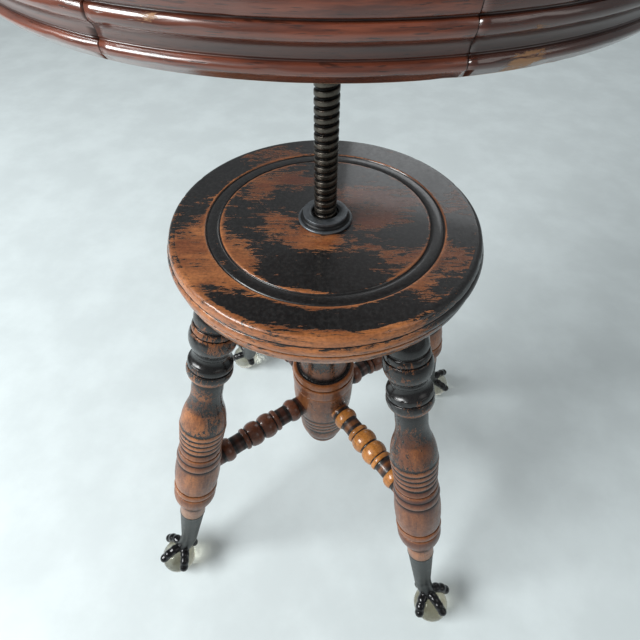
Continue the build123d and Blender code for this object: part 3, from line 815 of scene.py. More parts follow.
@dataclass
class Outline:
    """A turned outline ready to be spun: points and how proud or hollow each one is.

    A point is proud as far as it stands out from the line rounded over a fine reach and over a
    broad one, each measured against how far a full crest stands out from it.
    """

    points: np.ndarray
    relief: np.ndarray

    @classmethod
    def from_cuts(
        cls, start_radius: float, cuts: Sequence[Cut], ease: float = 0.35, gap: float = 4.0
    ) -> "Outline":
        """Sample, round and thin an outline.

        Args:
            start_radius: Radius at the top end.
            cuts: The turned cuts.
            ease: How far corners are rounded, in millimetres.
            gap: The most that two kept points may be apart.

        Returns:
            The outline.
        """
        return cls.from_line(sample_cuts(start_radius, cuts), ease, gap)

    @classmethod
    def from_line(cls, line: np.ndarray, ease: float = 0.35, gap: float = 4.0) -> "Outline":
        """Round and thin a line.

        Args:
            line: Rows of (radius, height).
            ease: How far corners are rounded, in millimetres.
            gap: The most that two kept points may be apart.

        Returns:
            The outline.
        """
        spaced = even(line)
        eased = softened(spaced, ease)
        fine = softened(spaced, FINE_REACH)
        broad = softened(spaced, BROAD_REACH)
        slope = np.gradient(eased, axis=0)
        normal = np.column_stack([-slope[:, 1], slope[:, 0]])
        normal /= np.maximum(np.hypot(*normal.T), 1e-9)[:, None]
        proud = ((eased - fine) * normal).sum(axis=1) / FINE_STAND
        proud += ((eased - broad) * normal).sum(axis=1) / BROAD_STAND
        relief = np.clip(proud, -1, 1)
        kept = [0]
        index = 1
        while index < len(eased) - 1:
            start = eased[kept[-1]]
            ahead = eased[index + 1] - start
            distance = float(np.hypot(*ahead))
            between = eased[kept[-1] + 1 : index + 1] - start
            off = np.abs(between[:, 0] * ahead[1] - between[:, 1] * ahead[0]) / max(distance, 1e-9)
            turned = np.abs(relief[kept[-1] : index + 2] - relief[kept[-1]]).max()
            if off.max() > 0.02 or distance > gap or turned > 0.3:
                kept.append(index)
            index += 1
        kept.append(len(eased) - 1)
        return cls(eased[kept], relief[kept])


@dataclass
class Spun:
    """Mesh data of a turned piece, in its own frame: z up along its axis, millimetres."""

    vertices: list[Vector] = field(default_factory=list)
    faces: list[tuple[int, ...]] = field(default_factory=list)
    relief: list[float] = field(default_factory=list)
    height: list[float] = field(default_factory=list)

    @classmethod
    def spin(
        cls,
        outline: Outline,
        segments: int,
        closed: bool = False,
        wobble: float = 0.08,
        chips: float = 0.25,
        seed: float = 0.0,
    ) -> "Spun":
        """Spin an outline round z.

        Args:
            outline: The outline, from the top down.
            segments: Facets round the axis.
            closed: Whether the outline is a loop that stays off the axis.
            wobble: How far the turning wanders, in millimetres.
            chips: How deep knocks on the crests are, in millimetres.
            seed: Moves the noise, so that repeated pieces differ.

        Returns:
            The spun mesh.
        """
        made = cls()
        points = outline.points[:-1] if closed else outline.points
        rings: list[list[int]] = []
        for (radius, height), relief in zip(points, outline.relief):
            pole = radius < 1e-6
            ring = []
            for spoke in range(1 if pole else segments):
                angle = math.tau * spoke / segments
                spot = Vector((radius * math.cos(angle), radius * math.sin(angle), height))
                if not pole:
                    grown = (radius + cls.drift(spot, relief, wobble, chips, seed)) / radius
                    spot = Vector((spot.x * grown, spot.y * grown, height))
                ring.append(len(made.vertices))
                made.vertices.append(spot)
                made.relief.append(float(relief))
                made.height.append(float(height))
            rings.append(ring)
        pairs = list(zip(rings, rings[1:]))
        if closed:
            pairs.append((rings[-1], rings[0]))
        for upper, lower in pairs:
            made.join(upper, lower, segments)
        return made

    @staticmethod
    def drift(spot: Vector, relief: float, wobble: float, chips: float, seed: float) -> float:
        """How far a point wanders from its turned radius.

        Args:
            spot: The point, in millimetres.
            relief: How proud it is; only crests are knocked.
            wobble: How far the turning wanders.
            chips: How deep a knock is.
            seed: Moves the noise.

        Returns:
            The change of its radius, in millimetres.
        """
        wander = noise.noise((spot * 0.045 + Vector((seed, seed * 1.7, 0))) * 0.5) * wobble
        knock = noise.noise(spot * 0.21 + Vector((seed * 3, 5, seed)))
        if relief > 0.3 and knock > 0.28:
            wander -= chips * min(1.0, (knock - 0.28) * 5) * relief
        return wander

    def join(self, upper: Sequence[int], lower: Sequence[int], segments: int) -> None:
        """Face the strip between two rings, either of which may be a single pole.

        Args:
            upper: Vertex numbers of the ring that comes first along the outline.
            lower: Vertex numbers of the next ring.
            segments: Facets round the axis.
        """
        for spoke in range(segments):
            after = (spoke + 1) % segments
            if len(upper) == 1:
                self.faces.append((upper[0], lower[spoke], lower[after]))
            elif len(lower) == 1:
                self.faces.append((upper[after], upper[spoke], lower[0]))
            else:
                self.faces.append((upper[after], upper[spoke], lower[spoke], lower[after]))


def unworn(spot: Vector, height: float, relief: float) -> Wear:
    """No wear and no tint."""
    return 0.0, 0.0


def cut_from(x: float, y: float, z: float) -> Placer:
    """Where in its plank a piece was cut from.

    Args:
        x: How far across the plank, in millimetres.
        y: How far up.
        z: How far along.

    Returns:
        A function that gives a point's place in the wood.
    """
    offset = Vector((x, y, z))

    def place(spot: Vector) -> Vector:
        """Where a point lies in the wood."""
        return spot + offset

    return place


def write_mesh(
    name: str,
    spun: Spun,
    matrix: Matrix,
    material: bpy.types.Material,
    painter: Painter = unworn,
    place: Placer = cut_from(0.0, 0.0, 0.0),
) -> bpy.types.Object:
    """Make a finished object from mesh data.

    Args:
        name: The piece's name.
        spun: Mesh data in the piece's own frame, in millimetres.
        matrix: From the piece's own frame to the stool's, in millimetres.
        material: Its finish.
        painter: Gives the rub and tint at a point, its height and relief.
        place: Gives where a point lies in the wood, in millimetres.

    Returns:
        The object, at the origin.
    """
    mesh = bpy.data.meshes.new(name)
    mesh.from_pydata([tuple((matrix @ spot) * MM) for spot in spun.vertices], [], spun.faces)
    rubs, tints, places = [], [], []
    for spot, height, relief in zip(spun.vertices, spun.height, spun.relief):
        rub, tint = painter(spot, height, relief)
        rubs.append(rub)
        tints.append(tint)
        places.extend(place(spot) * MM)
    for label, values in (("relief", spun.relief), ("rub", rubs), ("tint", tints)):
        mesh.attributes.new(label, "FLOAT", "POINT").data.foreach_set("value", values)
    mesh.attributes.new("place", "FLOAT_VECTOR", "POINT").data.foreach_set("vector", places)
    mesh.materials.append(material)
    mesh.polygons.foreach_set("use_smooth", [True] * len(mesh.polygons))
    mesh.update()
    made = bpy.data.objects.new(name, mesh)
    bpy.context.scene.collection.objects.link(made)
    return made


def baked(holder: bpy.types.Object) -> bpy.types.Mesh:
    """Turn an object's modified result into a plain mesh, and remove the object.

    Args:
        holder: The object with its modifiers.

    Returns:
        The plain mesh.
    """
    mesh = bpy.data.meshes.new_from_object(holder.evaluated_get(bpy.context.evaluated_depsgraph_get()))
    bpy.data.objects.remove(holder)
    return mesh


def settle(piece: bpy.types.Object, body: Body, slot: Slot, *nodes: str) -> None:
    """Tell the frame what a finished piece rides on and replaces.

    Args:
        piece: The finished piece.
        body: The body it rides on.
        slot: Its material slot; not used.
        *nodes: The solids that it stands for.
    """
    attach(piece, body.value)
    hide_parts(*nodes)
    LOG.info("%s: %d faces on %s", piece.name, len(piece.data.polygons), body.value)


def line_cut(radius: float, depth: float, width: float, following: float) -> list[Cut]:
    """A fine square groove.

    Args:
        radius: Radius that it is cut from.
        depth: How deep it is.
        width: How wide it is.
        following: Radius that the next cut starts from.

    Returns:
        Its cuts.
    """
    return [(0, radius - depth, 0), (width, radius - depth, 0), (0, following, 0)]


def slice_off(mesh: bmesh.types.BMesh, spot: Vector, normal: Vector, clear_above: bool) -> None:
    """Cut a closed mesh by a plane, drop one side and close the cut.

    Args:
        mesh: The mesh.
        spot: A point of the plane.
        normal: The plane's normal, which points above it.
        clear_above: Whether what is above goes, or else what is below.
    """
    everything = mesh.verts[:] + mesh.edges[:] + mesh.faces[:]
    cut = bmesh.ops.bisect_plane(
        mesh,
        geom=everything,
        plane_co=spot,
        plane_no=normal,
        clear_outer=clear_above,
        clear_inner=not clear_above,
        dist=1e-4,
    )
    edges = [item for item in cut["geom_cut"] if isinstance(item, bmesh.types.BMEdge)]
    bmesh.ops.holes_fill(mesh, edges=edges, sides=0)


def close_rings(mesh: bmesh.types.BMesh, rings: Sequence[Sequence[bmesh.types.BMVert]]) -> None:
    """Face the strips between successive rings, and close both ends.

    Args:
        mesh: The mesh that the rings are in.
        rings: Rings with the same number of vertices.
    """
    sides = len(rings[0])
    for near, far in zip(rings, rings[1:]):
        for side in range(sides):
            after = (side + 1) % sides
            mesh.faces.new((near[side], near[after], far[after], far[side]))
    mesh.faces.new(tuple(reversed(rings[0])))
    mesh.faces.new(tuple(rings[-1]))


def smooth_step(low: float, high: float, value: float) -> float:
    """Ease from 0 at one value to 1 at another, which may be the lesser.

    Args:
        low: Where it is 0.
        high: Where it is 1.
        value: The value.

    Returns:
        The eased share.
    """
    share = min(1.0, max(0.0, (value - low) / (high - low)))
    return share * share * (3 - 2 * share)


# --------------------------------------------------------------------------------------
# the base
# --------------------------------------------------------------------------------------


class Patch(NamedTuple):
    """A worn patch of the platform's top: its middle, its reach, how bare it is and how red."""

    x: float
    y: float
    reach_x: float
    reach_y: float
    bare: float
    red: float


@dataclass
class Platform:
    """Round board under the screw, painted black and worn in patches along its grain."""

    height: float = 430.0
    thickness: float = 25.0
    hole: float = 12.6
    hole_ease: float = 0.6
    flat: float = 110.0
    rings: tuple[float, float] = (77.3, 86.6)
    quirk_depth: float = 1.4
    quirk_half_width: float = 0.9
    bead_crown: float = 0.1
    bead_edge: float = 0.5
    segments: int = 224
    grain_turn: float = 8.8
    sound: float = 0.20
    barest: float = 0.545
    patch_strength: float = 1.16
    patches: tuple[Patch, ...] = (
        Patch(-84, -52, 24, 52, 0.36, 0.05),
        Patch(-52, -60, 16, 26, 0.32, 0.05),
        Patch(-3, -81, 36, 8, 0.30, 0.0),
        Patch(-4, -25, 22, 16, 0.36, 0.05),
        Patch(-35, -10, 17, 16, 0.28, 0.2),
        Patch(28, 20, 28, 32, 0.38, 0.9),
        Patch(54, -34, 27, 14, 0.30, 0.65),
        Patch(92, -26, 20, 18, 0.26, 0.6),
        Patch(-53, 80, 34, 20, 0.24, 0.8),
        Patch(-55, 28, 15, 22, 0.24, 0.5),
        Patch(20, -108, 52, 5, 0.34, 0.0),
        Patch(71, -62, 16, 14, 0.28, 0.35),
        Patch(-29, 44, 18, 12, 0.28, 0.9),
        Patch(60, 30, 18, 20, 0.17, 0.9),
        Patch(95, 40, 14, 26, 0.18, 0.85),
    )

    def wear(self, spot: Vector, height: float, relief: float) -> Wear:
        """How rubbed and how red the board is at a point.

        Args:
            spot: The point, in millimetres.
            height: Its height; not used.
            relief: How proud it is; not used.

        Returns:
            The rub and the tint.
        """
        radius = math.hypot(spot.x, spot.y)
        depth = self.height - spot.z
        if depth > self.thickness - self.hole_ease:
            return 0.95, 0.35
        if radius > self.flat - 1 and depth < self.thickness - 1:
            front = smooth_step(60, -100, spot.y) * smooth_step(110, 60, spot.x)
            return 0.06 + 0.31 * front, 0.0
        rub, weight, red = self.sound, 0.0, 0.0
        for patch in self.patches:
            across = (spot.x - patch.x) / patch.reach_x
            along = (spot.y - patch.y) / patch.reach_y
            share = math.exp(-(across**2) - along**2)
            rub += self.patch_strength * patch.bare * share
            weight += share
            red += patch.red * share
        rub = min(rub, self.barest)
        inner, outer = self.rings
        if inner < radius < outer:
            rub = 0.14 + 0.25 * (rub - self.sound)
        elif outer <= radius < outer + 1.6:
            rub = max(rub, 0.30 + 0.20 * abs(spot.x) / outer)
        return rub, red / weight if weight > 0.05 else 0.4

    def place(self, spot: Vector) -> Vector:
        """Where a point lies in the wood: z runs along the grain, from left to right."""
        turn = Matrix.Rotation(math.radians(-self.grain_turn), 3, "Z") @ spot
        return Vector((turn.y, turn.z * 2.0, turn.x))

    def outline(self) -> Outline:
        """The board's closed outline, from its hole over the top and the rim and back underneath.

        Returns:
            The outline.
        """
        ease, half_depth = self.hole_ease, self.thickness / 2
        top = [(self.hole, -half_depth), (self.hole, -ease), (self.hole + ease, 0.0)]
        inner, outer = self.rings
        middle, half = (inner + outer) / 2, (outer - inner) / 2 - self.quirk_half_width
        top += [(inner - self.quirk_half_width, 0.0), (inner, -self.quirk_depth)]
        for share in np.linspace(-1.0, 1.0, 9):
            drop = self.bead_crown + (self.bead_edge - self.bead_crown) * share * share
            top.append((middle + half * share, -drop))
        top += [(outer, -self.quirk_depth), (outer + self.quirk_half_width, 0.0)]
        cuts = [(3.0, 113.8, 0.9), (3.6, 114.6, 0.2)] + line_cut(114.6, 0.7, 0.8, 114.6)
        cuts += [(7.9, 114.6, 1.8)] + line_cut(114.6, 1.4, 1.2, 115.0) + [(8.5, 112.8, 0.5)]
        rim = sample_cuts(self.flat, cuts)
        under = [(self.hole + ease, -self.thickness), (self.hole, -self.thickness + ease)]
        under.append((self.hole, -half_depth))
        return Outline.from_line(np.vstack([np.array(top), rim, np.array(under)]), 0.28, 3.2)

    def build(self, material: bpy.types.Material) -> None:
        """Make and settle the platform.

        Args:
            material: Its finish.
        """
        spun = Spun.spin(self.outline(), self.segments, closed=True, wobble=0.12, chips=0.35, seed=2.0)
        lifted = Matrix.Translation((0, 0, self.height))
        for index, spot in enumerate(spun.vertices):
            spun.vertices[index] = lifted @ spot
        piece = write_mesh("worn_platform", spun, Matrix.Identity(4), material, self.wear, self.place)
        settle(piece, Body.BASE, Slot.EBONISED, "platform")


@dataclass
class CentrePost:
    """Turned post under the platform."""

    top: float = 405.0
    bore: float = 12.0
    bore_depth: float = 177.9
    segments: int = 96

    def wear(self, spot: Vector, height: float, relief: float) -> Wear:
        """Brown wood with the black paint left on its upper part and in stray patches.

        Args:
            spot: The point, in millimetres.
            height: Its height under the platform, below zero.
            relief: How proud it is; not used.

        Returns:
            The rub and the tint.
        """
        low = smooth_step(-60, -190, height)
        stray = noise.noise(spot * 0.02)
        tint = 0.30 + 0.2 * smooth_step(-255, -300, height)
        return 0.20 + 0.36 * low + 0.22 * stray, tint

    def build(self, material: bpy.types.Material) -> None:
        """Make and settle the post.

        Args:
            material: Its finish.
        """
        cuts: list[Cut] = [(0, 28.0, 0), (7.0, 28.0, 1.4), (0, 26.6, 0), (12.0, 19.5, -2.2)]
        cuts += [(92.0, 27.5, 2.6), (46.0, 25.4, -1.8), (0, 30.2, 0), (9.0, 30.2, 1.2)]
        cuts += line_cut(30.2, 1.4, 1.2, 31.4)
        cuts += [(14.6, 31.4, 0.4)] + line_cut(31.4, 1.4, 1.2, 31.0) + [(50.0, 29.0, 1.3)]
        cuts += [(9.0, 29.0 - 1.2 * (index + 1), 0.7) for index in range(3)]
        cuts += [(28.0, 20.0, 2.2), (10.0, 14.0, 2.4), (0, 0.0, 0)]
        floor = [(0.0, -self.bore_depth), (self.bore, -self.bore_depth)]
        outline = Outline.from_line(np.vstack([floor, sample_cuts(self.bore, cuts)]))
        spun = Spun.spin(outline, self.segments, wobble=0.15, seed=4.0)
        matrix = Matrix.Translation((0, 0, self.top))
        piece = write_mesh("turned_post", spun, matrix, material, self.wear, cut_from(40.0, 11.0, 0.0))
        settle(piece, Body.BASE, Slot.TURNED, "centre_post")


@dataclass
class Leg:
    """One splayed turned leg: black above, brown below.

    Each stop is (distance down the leg, rub, tint).
    """

    corner: Corner
    splay: float = 15.95
    top_radius: float = 92.0
    underside: float = 405.0
    shoulder: float = 13.5
    segments: int = 72
    black: float = 0.0
    painted_shade: float = 0.0
    clearance: float = 0.02
    stops: tuple[tuple[float, float, float], ...] = (
        (0, 0.12, 0.3),
        (22, 0.16, 0.3),
        (28, 0.20, 0.2),
        (38, 0.17, 0.2),
        (50, 0.20, 0.1),
        (56, 0.10, 0.3),
        (66, 0.16, 0.2),
        (76, 0.22, 0.1),
        (81, 0.52, 0.0),
        (86, 0.52, 0.0),
        (88, 0.26, 0.4),
        (98, 0.36, 0.3),
        (106, 0.44, 0.0),
        (124, 0.45, 0.0),
        (142, 0.48, 0.0),
        (158, 0.58, 0.1),
        (166, 0.70, 0.2),
        (172, 0.85, 0.35),
        (186, 0.95, 0.7),
        (200, 1.00, 0.3),
        (208, 1.00, 0.1),
        (240, 1.00, 0.1),
        (252, 1.00, 0.5),
        (276, 1.00, 0.15),
        (284, 1.00, -0.5),
        (301, 1.00, -0.8),
    )

    @staticmethod
    def cuts() -> list[Cut]:
        """The leg's turned cuts, from the platform's underside down to the ferrule.

        Returns:
            The cuts.
        """
        cuts: list[Cut] = [(9.0, 12.2, -0.6), (15.0, 15.9, 1.6), (0, 15.0, 0), (2.0, 15.0, 0)]
        cuts += [(0, 16.0, 0), (5.5, 16.9, 0.5)] + line_cut(16.9, 1.2, 1.2, 17.3)
        cuts += [(18.3, 15.2, 2.3), (0, 14.5, 0), (4.0, 14.5, 0.4), (0, 14.1, 0), (8.5, 17.0, -1.2)]
        cuts += [(0, 17.4, 0), (5.5, 17.9, 0.4)] + line_cut(17.9, 1.2, 1.2, 18.1)
        cuts += [(14.0, 13.8, 2.4), (0, 13.3, 0), (15.8, 13.3, 0), (20.0, 15.7, -0.9), (24.0, 20.1, 1.0)]
        cuts += [(7.0, 20.1 - 0.35 * (index + 1), 0.9) for index in range(4)]
        cuts += [(0, 18.2, 0), (2.0, 18.2, 0), (7.5, 19.2, 0.5)] + line_cut(19.2, 1.2, 1.2, 19.4)
        cuts += [(6.5, 19.9, 0.3), (9.0, 20.6, 0.8), (0, 20.0, 0), (42.8, 20.6, 1.4)]
        cuts += line_cut(20.6, 1.4, 1.6, 20.9) + [(8.4, 20.4, 0.8)] + line_cut(20.4, 1.4, 1.6, 20.2)
        cuts += [(25.6, 14.3, 3.2), (0, 13.9, 0), (22.8, 13.2, 0)]
        return cuts

    def frame(self) -> Matrix:
        """From the leg's own frame, z up along its axis, to the stool's.

        Returns:
            The matrix.
        """
        turn = Matrix.Rotation(math.radians(self.corner.value), 4, "Z")
        stand = Matrix.Translation((self.top_radius, 0, self.underside))
        return turn @ stand @ Matrix.Rotation(-math.radians(self.splay), 4, "Y")

    def wear(self, spot: Vector, height: float, relief: float) -> Wear:
        """Black from the top to the vase, then brown; the neck above the ferrule is paler.

        Args:
            spot: The point, in millimetres.
            height: Its height along the leg, below zero.
            relief: How proud it is; not used.

        Returns:
            The rub and the tint.
        """
        stray = noise.noise(spot * 0.035 + Vector((self.corner.value, 0, 0)))
        downs, rubs, tints = zip(*self.stops)
        rub = float(np.interp(-height, downs, rubs)) + 0.24 * stray
        rub -= self.black * smooth_step(210, 150, -height)
        # Painted shade darkens and reddens the bare wood, as the tint does.
        return rub, float(np.interp(-height, downs, tints)) + self.painted_shade

    def build(self, material: bpy.types.Material) -> None:
        """Make and settle the leg.

        Args:
            material: Its finish.
        """
        shoulder: list[Cut] = [(self.shoulder, self.shoulder, 0)]
        outline = Outline.from_cuts(self.shoulder, shoulder + self.cuts(), 0.4)
        seed = self.corner.value / 10
        spun = Spun.spin(outline, self.segments, wobble=0.18, chips=0.45, seed=seed)
        matrix = self.frame()
        climb = (matrix.to_3x3() @ Vector((0, 0, 1))).z
        for index, spot in enumerate(spun.vertices):
            raised = spot + Vector((0, 0, self.shoulder))
            over = (matrix @ raised).z - self.underside + self.clearance
            spun.vertices[index] = raised - Vector((0, 0, max(0.0, over) / climb))
            spun.height[index] += self.shoulder
        last = len(spun.vertices) - self.segments
        spun.faces.append(tuple(range(self.segments)))
        spun.faces.append(tuple(reversed(range(last, last + self.segments))))
        place = cut_from(seed * 9, 60.0, seed * 13)
        piece = write_mesh(f"{self.corner.label}_turned_leg", spun, matrix, material, self.wear, place)
        settle(piece, Body.BASE, Slot.TURNED, f"{self.corner.label}_leg")


@dataclass
class Stretcher:
    """One turned rail from the post to a leg."""

    corner: Corner
    height: float = 193.0
    inner: float = 31.0
    outer: float = 130.5
    buried: float = 8.0
    plain_end: float = 5.0
    end_radius: float = 10.3
    segments: int = 48
    tint: float = 0.2

    def cuts(self) -> list[Cut]:
        """The rail's turned cuts, from the leg inwards: one half, then the same mirrored.

        Returns:
            The cuts.
        """
        half: list[Cut] = [(11.0, 10.3, 1.9), (0, 9.4, 0), (13.0, 9.4, 0), (0, 10.8, 0), (4.8, 10.8, 0.8)]
        half += [(0, 9.9, 0), (1.2, 9.9, 0), (0, 10.9, 0), (13.8, 10.9, 2.1), (0, 9.9, 0)]
        run = self.outer - self.inner
        middle = run - 2 * (self.plain_end + sum(cut[0] for cut in half))
        starts = [self.end_radius] + [cut[1] for cut in half[:-1]]
        back = [(length, start, swell) for (length, _, swell), start in zip(half, starts)][::-1]
        end = (self.plain_end + self.buried, self.end_radius, 0.0)
        return [end] + half + [(middle, 9.9, 0)] + back + [end]

    def wear(self, spot: Vector, height: float, relief: float) -> Wear:
        """Bare varnished wood with a little black in its hollows.

        Args:
            spot: The point, in millimetres.
            height: Its height; not used.
            relief: How proud it is.

        Returns:
            The rub and the tint.
        """
        stray = noise.noise(spot * 0.05 + Vector((0, self.corner.value, 0)))
        return 0.95 + 0.1 * stray - 0.25 * max(0.0, -relief), self.tint

    def build(self, material: bpy.types.Material) -> None:
        """Make and settle the rail.

        Args:
            material: Its finish.
        """
        cuts = [(0, self.end_radius, 0)] + self.cuts() + [(0, 0.0, 0)]
        outline = Outline.from_cuts(0.0, cuts, 0.4)
        seed = self.corner.value / 7
        spun = Spun.spin(outline, self.segments, wobble=0.2, chips=0.3, seed=seed)
        matrix = Matrix.Rotation(math.radians(self.corner.value), 4, "Z")
        matrix = matrix @ Matrix.Translation((self.outer + self.buried, 0, self.height))
        matrix = matrix @ Matrix.Rotation(math.pi / 2, 4, "Y")
        place = cut_from(seed * 5, 90.0, seed * 3)
        piece = write_mesh(f"{self.corner.label}_turned_rail", spun, matrix, material, self.wear, place)
        settle(piece, Body.BASE, Slot.TURNED, f"{self.corner.label}_stretcher")


@dataclass
class ClawFoot:
    """Iron ferrule, ankle and four clawed toes round a ball; modelled once and turned to each corner.

    Each toe is (turn from outward, reach down the ball), in degrees, and each point of the ferrule
    is (radius, distance down from the leg's end).
    """

    ball_radius: float = 18.8
    ball_circle: float = 214.0
    lean: float = 28.0
    toe_radius: float = 5.1
    toe_taper: float = 0.08
    bite: float = 1.0
    root_angle: float = 8.0
    toes: tuple[tuple[float, float], ...] = ((0.0, 66.0), (74.0, 64.0), (-74.0, 64.0), (180.0, 40.0))
    knuckles: tuple[float, ...] = (0.36, 0.68, 1.0)
    knuckle_width: float = 0.085
    knuckle_swell: float = 0.07
    knuckle_stand: float = 0.25
    ferrule: tuple[tuple[float, float], ...] = (
        (13.3, 0.0), (13.5, 1.4), (13.2, 3.0), (12.9, 5.0), (9.35, 59.0)
    )
    ferrule_length: float = 73.8
    ankle_radius: float = 8.6
    ankle_stand: float = 2.6
    leg_length: float = 301.0
    ball_clearance: float = 0.05
    voxel: float = 0.62

    def middle(self) -> Vector:
        """The ball's middle, for a foot that points along x."""
        return Vector((self.ball_circle, 0, self.ball_radius))

    def up(self) -> Vector:
        """The claw's axis, from the ball's middle towards the ankle."""
        lean = math.radians(self.lean)
        return Vector((-math.sin(lean), 0, math.cos(lean)))

    def toe_spine(self, turn: float, reach: float) -> list[tuple[Vector, float]]:
        """Points and radii along one toe, from its root to the tip of its claw.

        Args:
            turn: The toe's turn from outward, in degrees.
            reach: How far down the ball its tip is, in degrees from the claw's axis.

        Returns:
            Points with the toe's radius at each.
        """
        up = self.up()
        side = Matrix.Rotation(math.radians(turn), 3, up) @ Vector((up.z, 0, -up.x))
        spine = []
        count = 34
        for index in range(count + 1):
            share = index / count
            angle = math.radians(self.root_angle + share * (reach - self.root_angle))
            bumps = sum(math.exp(-(((share - at) / self.knuckle_width) ** 2)) for at in self.knuckles)
            radius = self.toe_radius * (1.0 - self.toe_taper * share + self.knuckle_swell * bumps)
            stand = self.ball_radius + radius - self.bite + self.knuckle_stand * bumps
            spine.append((self.middle() + (up * math.cos(angle) + side * math.sin(angle)) * stand, radius))
        return spine

    def tube(self, mesh: bmesh.types.BMesh, spine: Sequence[tuple[Vector, float]], sides: int = 14) -> None:
        """Add a closed tube along a spine.

        Args:
            mesh: The mesh that it joins.
            spine: Points with the tube's radius at each.
            sides: How many sides it has.
        """
        rings = []
        for index, (spot, radius) in enumerate(spine):
            ahead = spine[min(index + 1, len(spine) - 1)][0] - spine[max(index - 1, 0)][0]
            basis = ahead.normalized().to_track_quat("Z", "Y").to_matrix()
            ring = [
                mesh.verts.new(spot + basis @ Vector((math.cos(a), math.sin(a), 0)) * radius)
                for a in (math.tau * side / sides for side in range(sides))
            ]
            rings.append(ring)
        close_rings(mesh, rings)

    def model(self) -> bpy.types.Mesh:
        """Join the parts of one foot by remeshing, then hollow out the ball's place.

        Returns:
            The mesh in millimetres, for a foot that points along x.
        """
        mesh = bmesh.new()
        leg = Leg(Corner.FRONT_RIGHT)
        axis = Matrix.Translation((leg.top_radius, 0, leg.underside))
        axis = axis @ Matrix.Rotation(-math.radians(leg.splay), 4, "Y")
        spine = [(axis @ Vector((0, 0, -self.leg_length - along)), radius) for radius, along in self.ferrule]
        foot = self.middle() + self.up() * (self.ball_radius + self.ankle_stand)
        bend = axis @ Vector((0, 0, -self.leg_length - self.ferrule_length + 1.0))
        start, thick = spine[-1]
        steps = 14
        for index in range(1, steps + 1):
            share = index / steps
            spot = start.lerp(bend, share).lerp(bend.lerp(foot, share), share)
            spine.append((spot, thick + (self.ankle_radius - thick) * share))
        self.tube(mesh, spine, 40)
        made = bmesh.ops.create_uvsphere(mesh, u_segments=24, v_segments=16, radius=self.ankle_radius)
        bmesh.ops.translate(mesh, verts=made["verts"], vec=foot)
        for turn, reach in self.toes:
            toe = self.toe_spine(turn, reach)
            self.tube(mesh, toe)
            tip, radius = toe[-1]
            made = bmesh.ops.create_uvsphere(mesh, u_segments=10, v_segments=8, radius=radius)
            bmesh.ops.translate(mesh, verts=made["verts"], vec=tip)
        return self.joined(mesh)

    def joined(self, mesh: bmesh.types.BMesh) -> bpy.types.Mesh:
        """Fuse overlapping parts into one skin and press it off the ball.

        Args:
            mesh: The parts; it is used up.

        Returns:
            The fused mesh.
        """
        plain = bpy.data.meshes.new("claw pattern")
        mesh.to_mesh(plain)
        mesh.free()
        holder = bpy.data.objects.new("claw pattern", plain)
        bpy.context.scene.collection.objects.link(holder)
        remesh = holder.modifiers.new("join", "REMESH")
        remesh.mode = "VOXEL"
        remesh.voxel_size = self.voxel
        smooth = holder.modifiers.new("ease", "SMOOTH")
        smooth.factor = 0.5
        smooth.iterations = 3
        fused = baked(holder)
        middle = self.middle()
        skin = self.ball_radius + self.ball_clearance
        for vertex in fused.vertices:
            away = vertex.co - middle
            if away.length < skin:
                vertex.co = middle + away.normalized() * skin
        return fused

    def wear(self, spot: Vector, height: float, relief: float) -> Wear:
        """Black paint on the toes, and bare iron above; the height is the distance off the ball."""
        return smooth_step(16, 9, height), 0.0

    def build(self, corner: Corner, pattern: bpy.types.Mesh, material: bpy.types.Material) -> None:
        """Turn the pattern to a corner and settle it.

        Args:
            corner: Where it stands.
            pattern: The mesh that model made.
            material: Its finish.
        """
        spun = Spun()
        spun.vertices = [vertex.co.copy() for vertex in pattern.vertices]
        spun.faces = [tuple(face.vertices) for face in pattern.polygons]
        middle = self.middle()
        for vertex in spun.vertices:
            away = (vertex - middle).length - self.ball_radius
            near = smooth_step(16, 9, away)
            spun.height.append(away)
            spun.relief.append((smooth_step(4.5, 9.0, away) - 0.35) * near if near > 0.1 else 0.0)
        turn = Matrix.Rotation(math.radians(corner.value), 4, "Z")
        place = cut_from(corner.value, corner.value * 0.7, 0.0)
        piece = write_mesh(f"{corner.label}_claw", spun, turn, material, self.wear, place)
        settle(piece, Body.BASE, Slot.IRON, f"{corner.label}_claw_foot")


@dataclass
class Ball:
    """Glass ball under a claw, worn flat where it stands."""

    corner: Corner
    radius: float = 18.8
    circle: float = 214.0
    flat: float = 0.05
    segments: int = 64

    def build(self, material: bpy.types.Material) -> None:
        """Make and settle the ball.

        Args:
            material: Its finish.
        """
        angles = np.linspace(0, math.pi, 49)
        line = np.column_stack([self.radius * np.sin(angles), self.radius * np.cos(angles)])
        line[:, 1] = np.maximum(line[:, 1], -self.radius + self.flat)
        line[0, 0] = line[-1, 0] = 0.0
        outline = Outline(line, np.zeros(len(line)))
        spun = Spun.spin(outline, self.segments, wobble=0.06, chips=0.0, seed=self.corner.value)
        matrix = Matrix.Rotation(math.radians(self.corner.value), 4, "Z")
        matrix = matrix @ Matrix.Translation((self.circle, 0, self.radius))
        piece = write_mesh(f"{self.corner.label}_ball", spun, matrix, material)
        settle(piece, Body.BASE, Slot.GLASS, f"{self.corner.label}_glass_ball")


# --------------------------------------------------------------------------------------
# the screw, its nut and the seat
# --------------------------------------------------------------------------------------


